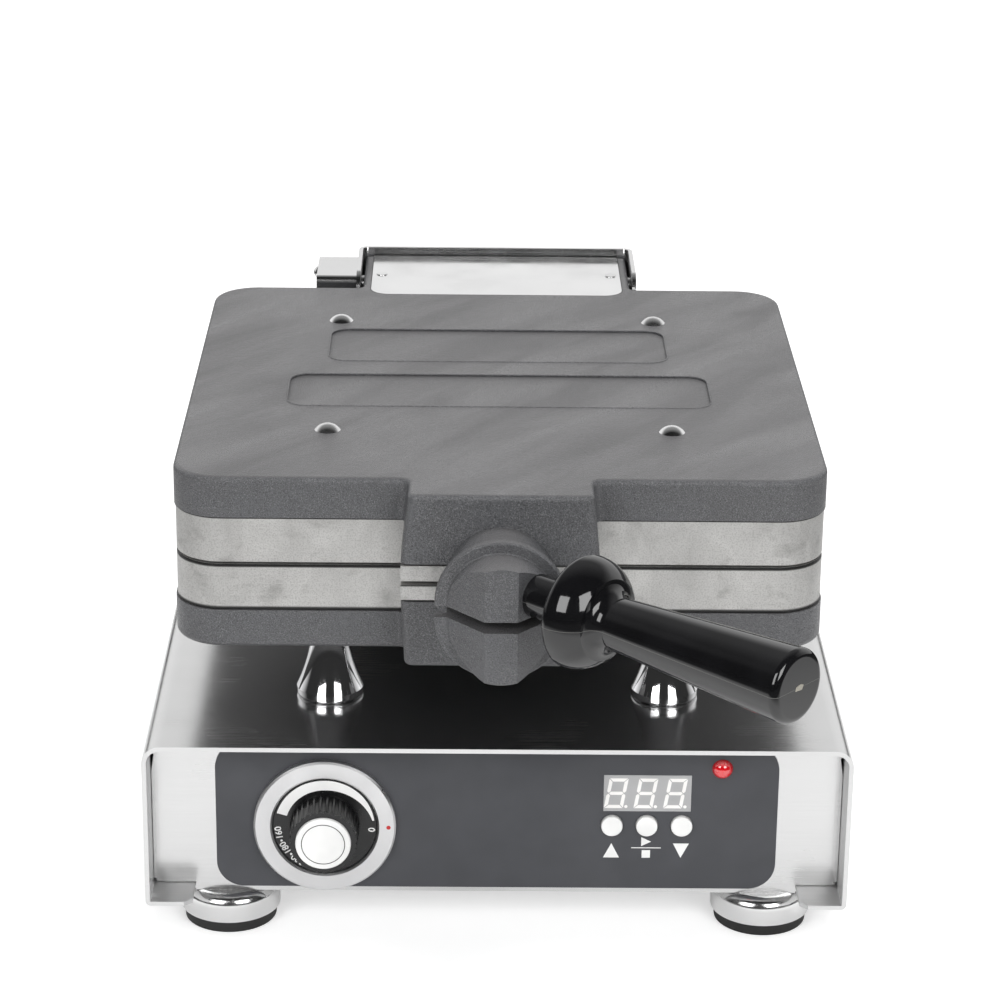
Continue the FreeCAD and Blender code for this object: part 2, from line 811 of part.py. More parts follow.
def pilot_lamp():
    """Domed lamp with its stem and nut through the panel."""
    body = new_body("pilot_lamp", "lamp_x", "panel_recess", "lamp_z", FRONT_FACING)
    nut_low = "-pan_sheet - lamp_nut_height"
    dome = "(lamp_dome ^ 2 + lamp_radius ^ 2) / (2 * lamp_dome)"
    profile = [
        ("0", "-lamp_length"),
        ("lamp_stem", "-lamp_length"),
        ("lamp_stem", nut_low),
        ("lamp_nut", nut_low),
        ("lamp_nut", "-pan_sheet"),
        ("lamp_stem", "-pan_sheet"),
        ("lamp_stem", "overlay_sheet"),
        ("lamp_radius", "overlay_sheet", dome),
        ("0", "overlay_sheet + lamp_dome"),
    ]
    spin(body, profile)


def dial():
    """Thermostat with its fixed bezel, and the knob, cap and shaft that turn together."""
    place = ("dial_x", "panel_recess", "dial_z", FRONT_FACING)
    bezel = new_body("dial_bezel", *place)
    bezel_top = "(overlay_sheet + bezel_height)"
    inner = "(bezel_radius - bezel_width)"
    ring = [
        (inner, "overlay_sheet"),
        ("bezel_radius", "overlay_sheet"),
        ("bezel_radius", bezel_top + " - bezel_bevel"),
        ("bezel_radius - bezel_bevel", bezel_top),
        (inner + " + bezel_bevel", bezel_top),
        (inner, bezel_top + " - bezel_bevel"),
    ]
    spin(bezel, ring)
    knob = new_body("dial_knob", *place)
    bore = "(shaft_radius + running_gap)"
    cap_floor = "(knob_top - cap_recess)"
    cap_seat = "(cap_radius + fit_gap)"
    knob_profile = [
        (bore, "skirt_low"),
        ("skirt_radius", "skirt_low"),
        ("skirt_radius", "knob_low"),
        ("knob_radius", "knob_low"),
        ("knob_radius - knob_taper", "knob_top"),
        (cap_seat, "knob_top"),
        (cap_seat, cap_floor),
        ("0", cap_floor),
        ("0", "shaft_in_knob"),
        (bore, "shaft_in_knob"),
    ]
    spin(knob, knob_profile)
    knurl = [("knob_radius", "0", "knurl_radius")]
    notch = pocket(knob, "XY", "knob_low + knurl_lip", "knob_top", circles=knurl)
    doc.recompute()
    knurls = knob.newObject("PartDesign::PolarPattern", "Knurls")
    knurls.Originals = [notch]
    knurls.Axis = (notch.Profile[0], ["N_Axis"])
    knurls.setExpression("Occurrences", formula("knurl_count"))
    knob.Tip = knurls
    cap = new_body("dial_cap", *place)
    cap_top = "(%s + cap_height)" % cap_floor
    pad(cap, "XY", cap_floor, cap_top, circles=[("0", "0", "cap_radius")])
    round_edges(cap, "cap_edge", flat("z", cap_top))
    shaft = new_body("dial_shaft", *place)
    shaft_low = "-pan_sheet - shaft_in_body"
    pad(shaft, "XY", shaft_low, "shaft_in_knob", circles=[("0", "0", "shaft_radius")])
    thermostat = new_body("thermostat_body", *place)
    across = "thermostat_width / 2"
    upright = "thermostat_height / 2"
    case = rectangle("-" + across, across, "-" + upright, upright)
    pad(thermostat, "XY", "-pan_sheet - thermostat_depth", "-pan_sheet", [case])
    pad(thermostat, "XY", "-pan_sheet", "overlay_sheet", circles=[("0", "0", "bush_radius")])
    bush_bore = [("0", "0", "shaft_radius + running_gap")]
    pocket(thermostat, "XY", shaft_low + " - clear_gap", "overlay_sheet", circles=bush_bore)


def supply():
    """Cable gland on the rear panel and the terminal block on the bottom plate."""
    gland = new_body("cable_gland", "gland_x", "rear_face", "gland_z", REAR_FACING)
    nut_low = "(-pan_sheet - gland_nut_height)"
    profile = [
        ("gland_bore", nut_low),
        ("gland_flange - clear_gap", nut_low),
        ("gland_flange - clear_gap", "-pan_sheet"),
        ("gland_radius", "-pan_sheet"),
        ("gland_radius", "0"),
        ("gland_flange", "0"),
        ("gland_flange", "gland_flange_height"),
        ("gland_radius", "gland_shoulder"),
        ("gland_nose", "gland_reach"),
        ("gland_bore", "gland_reach"),
    ]
    spin(gland, profile)
    block = new_body("terminal_block", "block_x", "block_y", "shell_bottom")
    across = "block_width / 2"
    along = "block_depth / 2"
    pad(block, "XY", "0", "block_height", [rectangle("-" + across, across, "-" + along, along)])
    wells = []
    for step in (-1, 0, 1):
        for end in SIDES:
            wells.append(("%d * block_pitch_x" % step, "%d * block_pitch_y / 2" % end, "block_well"))
    pocket(block, "XY", "block_height - block_well_depth", "block_height", circles=wells)


def feet():
    """Steel cups with rubber pads, and the screws that hold them to the bottom plate."""
    hole = "(foot_screw_radius + fit_gap)"
    head_seat = "(foot_screw_head + fit_gap)"
    inner = "(cup_radius - cup_sheet)"
    under = "(foot_height - cup_sheet)"
    turn = "(cup_round - cup_sheet)"
    cup_section = [
        (hole, "foot_height"),
        (hole, under),
        (inner + " - " + turn, under, "-" + turn),
        (inner, "foot_height - cup_round"),
        (inner, "pad_height"),
        ("cup_radius", "pad_height"),
        ("cup_radius", "foot_height - cup_round", "cup_round"),
        ("cup_radius - cup_round", "foot_height"),
    ]
    fill = "(%s - fit_gap)" % inner
    fill_turn = "(%s - fit_gap)" % turn
    fill_top = "(%s - fit_gap)" % under
    pad_section = [
        (hole, "pad_height"),
        (hole, fill_top),
        (fill + " - " + fill_turn, fill_top, "-" + fill_turn),
        (fill, "foot_height - cup_round"),
        (fill, "pad_height"),
        ("pad_radius", "pad_height"),
        ("pad_radius - pad_taper", "0"),
        (head_seat, "0"),
        (head_seat, "pad_height"),
    ]
    rows = (("front", "foot_inset_y"), ("rear", "foot_back"))
    columns = (("left", -1), ("right", 1))
    for row, y in rows:
        for column, side in columns:
            x = "%d * foot_x" % side
            cup = new_body("foot_cup_%s_%s" % (row, column), x, y)
            spin(cup, cup_section)
            rubber = new_body("foot_pad_%s_%s" % (row, column), x, y)
            spin(rubber, pad_section)
    screws = new_body("foot_screws")
    pad(screws, "XY", "foot_screw_low", "pad_height", circles=foot_circles("foot_screw_head"))
    pad(screws, "XY", "pad_height", "shell_bottom", circles=foot_circles("foot_screw_radius"))
    pad(screws, "XY", "shell_bottom", "shell_bottom + foot_nut", circles=foot_circles("foot_screw_head"))
    pan_screws = new_body("pan_screws")
    head_low = "foot_height - pan_screw_head_height"
    pad(pan_screws, "XY", head_low, "foot_height", circles=pan_screw_circles("pan_screw_head"))
    shanks = pan_screw_circles("pan_screw_radius")
    pad(pan_screws, "XY", "foot_height", "flange_top + pan_screw_tip", circles=shanks)


def support_legs():
    """Bell-shaped legs between the base and the baking head, with their studs."""
    bore = "(stud_radius + fit_gap)"
    section = [
        (bore, "0"),
        ("leg_rim_radius - leg_edge", "0", "leg_edge"),
        ("leg_rim_radius", "leg_edge"),
        ("leg_rim_radius", "leg_rim_height", "-leg_flare"),
        ("leg_top_radius", "leg_height"),
        (bore, "leg_height"),
    ]
    rows = (("front", "leg_front"), ("rear", "leg_back"))
    columns = (("left", -1), ("right", 1))
    for row, y in rows:
        for column, side in columns:
            leg = new_body("support_leg_%s_%s" % (row, column), "%d * leg_x" % side, y, "shell_top")
            spin(leg, section)
    studs = new_body("leg_studs")
    nut_low = "(shell_under - stud_nut)"
    pad(studs, "XY", nut_low, "shell_under", circles=leg_circles("stud_nut"))
    pad(studs, "XY", "shell_under", "case_low + case_wall", circles=leg_circles("stud_radius"))


# Baking head


def head_outline(inset="0"):
    """Plan of the square head, drawn in by an inset."""
    side = "(half_head - (%s))" % inset
    corners = ["(head_corner - (%s))" % inset] * 4
    return rounded("-" + side, side, "head_front + (%s)" % inset, "head_rear - (%s)" % inset, corners)


def front_lug(case, low, low_half, high, high_half, seam, edge_height):
    """Drafted lug ahead of the head, blended into it above or below the seam, with eased edges."""
    outline = [
        ("-" + low_half, low),
        (low_half, low),
        (high_half, high),
        ("-" + high_half, high),
    ]
    pad(case, "XZ", "lug_front", "head_front + clear_gap", [outline])
    slope = "((%s - %s) / (%s - %s))" % (high_half, low_half, high, low)
    root = "(%s + %s * ((%s + %s) / 2 - %s))" % (low_half, slope, seam, edge_height, low)
    round_edges(case, "lug_root", straight("z", x=("-" + root, root), y=("head_front",)))
    nose = "((%s + %s) / 2)" % (low_half, high_half)
    round_edges(case, "lug_edge", straight("z", x=("-" + nose, nose), y=("lug_front",)))
    round_edges(case, "case_edge", flat("z", edge_height))


def split_boss(body, centre, split, beyond):
    """Half of the round boss ahead of the lug: ring, faceted nose and the flat where it is split."""
    reach = [("0", centre, "boss_radius")]
    pad(body, "XZ", "boss_front", "lug_front", circles=reach)
    pad(body, "XZ", "ring_front", "ring_front + ring_width", circles=[("0", centre, "ring_radius")])
    round_edges(body, "ring_edge", flat("y", "ring_front", "ring_front + ring_width"))
    spare = "(ring_radius + clear_gap)"
    pocket(body, "XZ", "boss_front", "lug_front", [rectangle("-" + spare, spare, split, beyond)])
    facets = []
    for side in SIDES:
        facet = [
            ("%d * facet_half" % side, "boss_front"),
            ("%d * %s" % (side, spare), "boss_front"),
            ("%d * %s" % (side, spare), "ring_front"),
            ("%d * boss_radius" % side, "ring_front"),
        ]
        facets.append(facet)
    pocket(body, "XY", "case_low", "lid_top", facets)


def grid_grooves(body, low, high):
    """Crossed grooves of the cone pattern, each a chord of one round baking area."""
    lines = int(number("(grid_radius - groove_width) / grid_pitch"))
    half = "groove_width / 2"
    along_y = []
    along_x = []
    for step in range(-lines, lines + 1):
        place = "(%d * grid_pitch)" % step
        chord = "sqrt(grid_radius ^ 2 - %s ^ 2)" % place
        left = "%s - %s" % (place, half)
        right = "%s + %s" % (place, half)
        along_y.append(rectangle(left, right, "head_mid - " + chord, "head_mid + " + chord))
        along_x.append(rectangle("-" + chord, chord, "head_mid + " + left, "head_mid + " + right))
    pocket(body, "XY", low, high, along_y)
    pocket(body, "XY", low, high, along_x)


def heater(label, centre):
    """Tubular element, an open ring that lies against the plate."""
    body = new_body(label, "0", "head_mid", centre)
    sketch = new_sketch(body, "XZ")
    draw_circles(sketch, [("heater_radius", "0", "heater_tube")])
    ring = body.newObject("PartDesign::Revolution", "Ring")
    ring.Profile = sketch
    ring.ReferenceAxis = (sketch, ["V_Axis"])
    ring.setExpression("Angle", formula("heater_sweep"))
    return body


def lower_half():
    """Lower case, baking plate, element and screws."""
    case = new_body("lower_case")
    pad(case, "XY", "case_low", "plate_low", [head_outline()])
    lug_top = "(plate_top - plate_lug_step - plate_lug - lug_step)"
    front_lug(case, "case_low", "lug_low_half", lug_top, "lug_mid_half", "plate_low", "case_low")
    pocket(case, "XY", "case_low + case_wall", "plate_low", [head_outline("case_wall")])
    split_boss(case, "parting - boss_offset", "parting - boss_split", "lid_top")
    floor_holes = leg_circles("stud_radius + fit_gap") + lower_screw_circles("screw_radius + fit_gap")
    pocket(case, "XY", "case_low", "case_low + case_wall", circles=floor_holes)

    plate = new_body("lower_plate")
    pad(plate, "XY", "plate_low", "plate_top", [head_outline("plate_inset")])
    chamfer_edges(plate, "plate_edge", flat("z", "plate_low", "plate_top"))
    step_high = "(plate_top - plate_lug_step)"
    tongue = rectangle("-lug_mid_half", "lug_mid_half", step_high + " - plate_lug", step_high)
    pad(plate, "XZ", "lug_front + clear_gap", "head_front + plate_inset + clear_gap", [tongue])
    grid_grooves(plate, "plate_top - groove_depth", "plate_top")
    blind = lower_screw_circles("screw_radius + fit_gap")
    pocket(plate, "XY", "plate_low", "plate_low + screw_grip + clear_gap", circles=blind)

    heater("lower_heater", "plate_low - heater_tube")

    screws = new_body("lower_case_screws")
    head_low = "(case_low - screw_dome)"
    pad(screws, "XY", head_low, "case_low", circles=lower_screw_circles("screw_head"))
    round_edges(screws, "screw_round", flat("z", head_low))
    pad(screws, "XY", "case_low", "plate_low + screw_grip", circles=lower_screw_circles("screw_radius"))


def upper_case():
    """Cast top cover with the front lug, half boss, rear tail and shallow bare panels on top."""
    case = new_body("upper_case")
    pad(case, "XY", "lid_case", "lid_top", [head_outline()])
    tail = rectangle("-tail_half", "tail_half", "tail_low", "lid_top")
    pad(case, "XZ", "head_rear - case_wall", "tail_end", [tail])
    round_edges(case, "tail_root", straight("z", x=("-tail_half", "tail_half"), y=("head_rear",)))
    lug_low = "(lid_low + plate_lug_step + plate_lug + lug_step)"
    front_lug(case, lug_low, "lug_mid_half", "lid_top", "lug_top_half", "lid_case", "lid_top")
    pocket(case, "XY", "lid_case", "lid_top - case_wall", [head_outline("case_wall")])
    split_boss(case, "parting + boss_offset", "case_low", "parting + boss_split")
    sides = ("-cover_half - clear_gap", "cover_half + clear_gap")
    corners = ("cover_corner", "cover_corner", None, None)
    cover = rounded(*sides, "head_rear - cover_lead", "tail_end", corners)
    pocket(case, "XY", "lid_top - cover_sheet", "lid_top", [cover])
    pin_bore = [("hinge_y", "hinge_z", "pin_radius + running_gap")]
    pocket(case, "YZ", "-tail_half", "tail_half", circles=pin_bore)
    pocket(case, "XY", "lid_top - case_wall", "lid_top", circles=head_screw_circles("screw_radius + fit_gap"))
    panels = (
        ("front_recess_half", "(head_front + front_recess_lead)", "front_recess_length"),
        ("rear_recess_half", "(head_front + rear_recess_lead)", "rear_recess_length"),
    )
    for half, front, length in panels:
        ends = (front, front + " + " + length)
        plan = rounded("-" + half, half, *ends, ["recess_corner"] * 4)
        pocket(case, "XY", "lid_top - recess_depth", "lid_top", [plan])
    cover_floor = "(lid_top - cover_sheet)"
    screw_holes = cover_screw_circles("cover_screw_radius + fit_gap")
    hole_low = cover_floor + " - cover_screw_grip - clear_gap"
    pocket(case, "XY", hole_low, cover_floor, circles=screw_holes)
    handle_socket(case)


def handle_socket(case):
    """Hole for the handle's rod, square to the right-hand facet of the boss."""
    sketch = new_sketch(case, "XZ", "facet_y")
    offset = sketch.AttachmentOffset
    offset.Rotation = FreeCAD.Rotation(FreeCAD.Vector(0, 1, 0), number("handle_angle"))
    sketch.AttachmentOffset = offset
    sketch.setExpression("AttachmentOffset.Base.x", formula("facet_x"))
    sketch.setExpression("AttachmentOffset.Base.y", formula("handle_z"))
    sketch.setExpression("AttachmentOffset.Rotation.Angle", formula("handle_angle"))
    draw_circles(sketch, [("0", "0", "rod_radius + fit_gap")])
    socket = case.newObject("PartDesign::Pocket", "Socket")
    socket.Profile = sketch
    socket.setExpression("Length", formula("rod_in_boss + clear_gap"))


def cover_screw_circles(radius):
    return [("%d * cover_screw_half" % side, "hinge_y - cover_screw_lead", radius) for side in SIDES]


def upper_half():
    """Upper plate, element, screws and the rear cover over the tail."""
    plate = new_body("upper_plate")
    pad(plate, "XY", "lid_low", "lid_case", [head_outline("plate_inset")])
    chamfer_edges(plate, "plate_edge", flat("z", "lid_low", "lid_case"))
    step_low = "(lid_low + plate_lug_step)"
    tongue = rectangle("-lug_mid_half", "lug_mid_half", step_low, step_low + " + plate_lug")
    pad(plate, "XZ", "lug_front + clear_gap", "head_front + plate_inset + clear_gap", [tongue])
    grid_grooves(plate, "lid_low", "lid_low + groove_depth")
    blind = head_screw_circles("screw_radius + fit_gap")
    pocket(plate, "XY", "lid_case - screw_grip - clear_gap", "lid_case", circles=blind)

    heater("upper_heater", "lid_case + heater_tube")

    screws = new_body("lid_screws")
    dome = "((lid_screw_dome ^ 2 + lid_screw_head ^ 2) / (2 * lid_screw_dome))"
    section = [
        ("0", "lid_case - screw_grip"),
        ("screw_radius", "lid_case - screw_grip"),
        ("screw_radius", "lid_top"),
        ("lid_screw_head", "lid_top", dome),
        ("0", "lid_top + lid_screw_dome"),
    ]
    for x, y in four_places("screw_x", "screw_front", "screw_back"):
        spin(screws, section, x, y)

    cover = new_body("rear_cover")
    front = "head_rear - cover_lead + clear_gap"
    corners = ("cover_corner", "cover_corner", None, None)
    plan = rounded("-cover_half", "cover_half", front, "tail_end", corners)
    pad(cover, "XY", "lid_top - cover_sheet", "lid_top", [plan])
    screw_holes = cover_screw_circles("cover_screw_radius + fit_gap")
    pocket(cover, "XY", "lid_top - cover_sheet", "lid_top", circles=screw_holes)

    cover_screws = new_body("rear_cover_screws")
    dome_top = "lid_top + cover_screw_dome"
    pad(cover_screws, "XY", "lid_top", dome_top, circles=cover_screw_circles("cover_screw_head"))
    round_edges(cover_screws, "cover_screw_round", flat("z", dome_top))
    shank_low = "lid_top - cover_sheet - cover_screw_grip"
    pad(cover_screws, "XY", shank_low, "lid_top", circles=cover_screw_circles("cover_screw_radius"))


def handle():
    """Angled handle: steel rod in the boss, and a moulded grip with its heat guard."""
    turn = FreeCAD.Rotation(FreeCAD.Vector(0, 0, -1), 90 - number("handle_angle"))
    place = ("facet_x", "facet_y", "handle_z", turn)
    rod = new_body("handle_rod", *place)
    spin_along_x(rod, rectangle("-rod_in_boss", "rod_in_grip", "0", "rod_radius"))
    grip = new_body("handle_grip", *place)
    bore = "(rod_radius + fit_gap)"
    rim = "(sleeve_length + guard_rim)"
    neck = "(%s + guard_dome)" % rim
    section = [
        ("0", bore),
        ("rod_in_grip + clear_gap", bore),
        ("rod_in_grip + clear_gap", "0"),
        ("handle_length", "0"),
        ("handle_length", "grip_radius - grip_edge", "grip_edge"),
        ("handle_length - grip_edge", "grip_radius"),
        (neck + " + neck_blend", "neck_radius", "-neck_blend"),
        (neck, "neck_radius + neck_blend", "guard_curve"),
        (rim, "guard_radius", "guard_rim"),
        ("sleeve_length", "guard_radius - guard_rim"),
        ("sleeve_length", "sleeve_radius"),
        ("0", "sleeve_radius"),
    ]
    spin_along_x(grip, section)
    for body in (rod, grip):
        body.setExpression("Placement.Rotation.Angle", formula("90 - handle_angle"))


# Rear hinge


def hinge():
    """Bracket on the base, hinge pin, lid stop, and the wire duct with its screw beside the bracket."""
    bracket = new_body("hinge_bracket")
    bends = (None, None, "bracket_bend", "bracket_bend")
    outside = rounded("-bracket_half", "bracket_half", "bracket_front", "bracket_rear", bends)
    pad(bracket, "XY", "shell_top", "bracket_top", [outside])
    inner_bends = (None, None, "(bracket_bend - bracket_sheet)", "(bracket_bend - bracket_sheet)")
    inside = rounded("-bracket_inner", "bracket_inner", "bracket_front", "bracket_inside", inner_bends)
    floor = "(shell_top + bracket_sheet)"
    pocket(bracket, "XY", floor, "bracket_top", [inside])
    round_edges(bracket, "bracket_corner", straight("x", y=("bracket_front",), z=("bracket_top",)))
    pivot = [("hinge_y", "hinge_z", "pin_radius + running_gap")]
    pocket(bracket, "YZ", "-bracket_half", "bracket_half", circles=pivot)
    pocket(bracket, "XY", "shell_top", floor, circles=bracket_screw_circles("screw_radius + fit_gap"))

    screws = new_body("bracket_screws")
    pad(screws, "XY", floor, floor + " + screw_dome", circles=bracket_screw_circles("screw_head"))
    round_edges(screws, "screw_round", flat("z", floor + " + screw_dome"))
    pad(screws, "XY", "shell_under", floor, circles=bracket_screw_circles("screw_radius"))
    pad(screws, "XY", "shell_under - screw_nut", "shell_under", circles=bracket_screw_circles("screw_head"))

    pin = new_body("hinge_pin", "0", "hinge_y", "hinge_z")
    dome = "(pin_head_height ^ 2 + pin_head ^ 2) / (2 * pin_head_height)"
    section = [
        ("-bracket_half - pin_head_height", "0"),
        ("bracket_half", "0"),
        ("bracket_half", "pin_radius"),
        ("-bracket_half", "pin_radius"),
        ("-bracket_half", "pin_head", dome),
    ]
    spin_along_x(pin, section)

    stop = new_body("lid_stop_bar")
    pad(stop, "YZ", "-bracket_inner", "bracket_inner", circles=[("stop_y", "stop_z", "stop_radius")])

    duct = new_body("wire_duct")
    outside = rectangle("-duct_left", "-bracket_half", "duct_front", "duct_back")
    pad(duct, "XY", "shell_top", "duct_top", [outside])
    round_edges(duct, "duct_bend", straight("x", y=("duct_front",), z=("duct_top",)))
    ends = ("duct_front + duct_sheet", "duct_back - duct_sheet")
    bends = (None, None, None, "(duct_bend - duct_sheet)")
    channel = rounded(*ends, "shell_top", "duct_top - duct_sheet", bends)
    pocket(duct, "YZ", "duct_sheet - duct_left", "-bracket_half", [channel])
    screw_y = "(duct_front + duct_screw_back)"
    screw_z = "(duct_top - duct_screw_drop)"
    hole = [(screw_y, screw_z, "duct_screw_radius + fit_gap")]
    pocket(duct, "YZ", "-duct_left", "duct_sheet - duct_left", circles=hole)

    screw = new_body("duct_screw", "-duct_left", screw_y, screw_z)
    dome = "(duct_screw_dome ^ 2 + duct_screw_head ^ 2) / (2 * duct_screw_dome)"
    nut_end = "(duct_sheet + duct_screw_nut)"
    section = [
        ("-duct_screw_dome", "0"),
        ("duct_screw_tip", "0"),
        ("duct_screw_tip", "duct_screw_radius"),
        (nut_end, "duct_screw_radius"),
        (nut_end, "duct_screw_head"),
        ("duct_sheet", "duct_screw_head"),
        ("duct_sheet", "duct_screw_radius"),
        ("0", "duct_screw_radius"),
        ("0", "duct_screw_head", dome),
    ]
    spin_along_x(screw, section)


def check_and_write():
    """Stop on any failed feature or bad solid, then write one file for each sub-part."""
    doc.recompute()
    for item in doc.Objects:
        if "Invalid" in item.State or "Error" in item.State:
            raise RuntimeError("%s failed: %s" % (item.Label, item.State))
    for body in subparts:
        if body.Shape.isNull() or not body.Shape.isValid():
            raise RuntimeError("%s has no valid solid" % body.Label)
    os.makedirs("parts", exist_ok=True)
    for body in subparts:
        body.Shape.exportStep("parts/%s.step" % body.Label)


def main():
    fill_sheets()
    base_shell()
    base_pan()
    front_panel()
    control_overlay()
    display()
    buttons()
    pilot_lamp()
    dial()
    supply()
    feet()
    support_legs()
    lower_half()
    upper_case()
    upper_half()
    handle()
    hinge()
    check_and_write()


main()
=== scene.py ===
import json
import math

import bmesh
import bpy
from mathutils import Matrix, Vector


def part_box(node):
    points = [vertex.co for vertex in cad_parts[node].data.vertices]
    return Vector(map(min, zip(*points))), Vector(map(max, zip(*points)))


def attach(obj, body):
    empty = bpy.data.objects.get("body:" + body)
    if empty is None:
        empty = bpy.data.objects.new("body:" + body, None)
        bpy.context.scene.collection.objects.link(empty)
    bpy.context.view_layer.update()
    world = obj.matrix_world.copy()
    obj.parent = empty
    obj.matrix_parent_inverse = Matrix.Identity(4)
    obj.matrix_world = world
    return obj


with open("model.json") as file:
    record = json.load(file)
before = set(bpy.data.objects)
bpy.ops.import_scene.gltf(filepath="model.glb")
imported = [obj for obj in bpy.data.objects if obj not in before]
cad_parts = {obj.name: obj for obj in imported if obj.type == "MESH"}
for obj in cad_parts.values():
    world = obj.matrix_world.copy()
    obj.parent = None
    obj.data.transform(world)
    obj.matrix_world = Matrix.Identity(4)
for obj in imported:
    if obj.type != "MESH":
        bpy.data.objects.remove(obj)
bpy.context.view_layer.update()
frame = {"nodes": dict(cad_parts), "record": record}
nodes = frame["nodes"]
scene = bpy.context.scene
scene.view_settings.view_transform = "Standard"

MM = 0.001
FULL_TURN = 360.0
CORNER_STEPS = 8
BAND_STEPS = 72
WELD_DISTANCE = 1e-7

# Camera
CAMERA_PLACE = Vector((-0.0157, -1.33812, 0.6765))
CAMERA_YAW = math.radians(0.706)
CAMERA_PITCH = math.radians(20.778)
CAMERA_ROLL = math.radians(0.685)
CAMERA_LENS = 114.6
CAMERA_SENSOR = 36.0

# Studio: the light that fills in shade, and what mirrors see in front, behind and overhead
STUDIO_FILL = 0.45
STUDIO_FRONT = 0.03
STUDIO_TOP = 0.3
BACKDROP_START = -0.05
BACKDROP_END = 0.5
OVERHEAD_START = 0.45
OVERHEAD_END = 0.68

# Softboxes: name, place, aim, width, height, watts, and whether mirrors see it
SOFTBOXES = (
    ("top_box", (0.12, 0.2, 1.8), (0.02, 0.1, 0.1), 1.0, 0.7, 17.5, False),
    ("left_box", (-0.74, -1.25, 0.92), (0.0, 0.0, 0.1), 0.72, 0.8, 9.0, True),
    ("right_box", (0.68, -1.3, 0.92), (0.0, 0.0, 0.1), 0.72, 0.8, 9.8, True),
)

# Floor, in metres: its reach and level, its glow near the object and far off, and how mirrors see it
FLOOR_HALF = 9.0
FLOOR_LEVEL = -0.0003
FLOOR_LIFT = 0.45
FLOOR_LIFT_FAR = 0.66
FLOOR_LIFT_MIRRORED = 0.2
FLOOR_NEAR = 0.5
FLOOR_FAR = 2.2
FLOOR_TONE = 0.8
MIRRORED_TONE_FAR = 0.06
MIRRORED_NEAR = 0.48
MIRRORED_FAR = 0.72

# Dial marks, in millimetres and degrees counted anticlockwise from three o'clock
DIAL_X = -75.0
DIAL_Z = 50.5
SKIRT_GAP = 0.3
SKIRT_SHEET = 1.8
NUMBER_RADIUS = 20.3
NUMBER_SIZE = 4.1
NUMBER_WEIGHT = 0.07
NUMBER_START = 190.0
NUMBER_STEP = 22.0
NUMBERS = ("160", "180", "200", "220", "240")
ZERO_ANGLE = -5.0
DOT_RADIUS = 0.55
WEDGE_THIN = 7.0
WEDGE_THICK = 164.0
WEDGE_OUTER = 21.7
WEDGE_WIDTH = 4.6
WEDGE_TIP = 0.8
WEDGE_SWELL = 0.55
POINTER_RADIUS = 27.8
POINTER_SIZE = 0.95
CAP_LINE_RADIUS = 9.15
CAP_LINE_WIDTH = 0.35
DOT_SIDES = 14
POINTER_SIDES = 18

# Handle, in millimetres: its turn to the right of straight ahead, and lengths along it
HANDLE_TURN = math.radians(47.5)
ROD_MIDDLE = 29.0
HANDLE_LENGTH = 132.0
SEAM_HALF = 0.13
GATE_HALF_WIDTH = 2.6
GATE_HALF_HEIGHT = 1.3

# Ragged outline of the gate mark, as shares of its half width and half height
GATE_OUTLINE = ((-1.0, -0.7), (0.6, -1.0), (1.0, 0.4), (0.3, 1.0), (-0.8, 0.6))

# Bare recesses in the lid, in millimetres: half width, front edge and length, with a rim round each
RECESSES = ((95.0, -0.02, 44.8), (79.0, 63.68, 48.7))
RECESS_CORNER = 9.0
RIM_RADIUS = 0.45
RIM_SINK = 0.12

# Panel edges, in millimetres: the strip beside the bend and the small notch left open in it
BEND_START = 2.5
RELIEF_WIDTH = 7.0
RELIEF_DROP = 27.0
CORNER_ROUND = 5.7
STRIP_SHEET = 1.2
STRIP_SET_BACK = 0.004
STRIP_OVERLAP = 0.3
STRIP_LOW = 4.2
NOTCH_TOP = 9.9
NOTCH_BOTTOM = 17.8
NOTCH_WIDTH = 1.2

# Unbrushed inside of a folded sheet: how much duller it is, and a height in metres just over its flanges
MILL_FINISH = 0.32
FLANGE_LEVEL = 0.04
FLANGE_FADE = 0.01

# Painted shade lines along the baking plates' edges and seam: the reach of each in metres, and the share
# of it where fading starts
LINE_LOW = 0.0020
LINE_SEAM = 0.0014
LINE_TOP = 0.0008
LINE_FADE = 0.6

# Timer marks, in millimetres
CONTROL_X = 65.5
LENS_Z = 66.1
DIGIT_PITCH = 12.9
DIGIT_WIDTH = 8.3
DIGIT_HEIGHT = 14.3
DIGIT_STROKE = 1.55
DIGIT_GAP = 0.22
DIGIT_SLANT = 0.16
POINT_RADIUS = 0.75
POINT_OUT = 2.6
POINT_SIDES = 16
BUTTON_PITCH = 15.25
ICON_Z = 38.4
ICON_HALF = 3.5
PLAY_RISE = 4.3
PLAY_HALF = 2.17
STOP_DROP = 1.7
STOP_HALF = 1.8445
RULE_RISE = 1.3
RULE_HALF = 6.5
RULE_HALF_HEIGHT = 0.2
PRINT_SHEET = 0.06
PRINT_SINK = 0.02


# Materials


def scaled(color, factor):
    return tuple(part * factor for part in color)


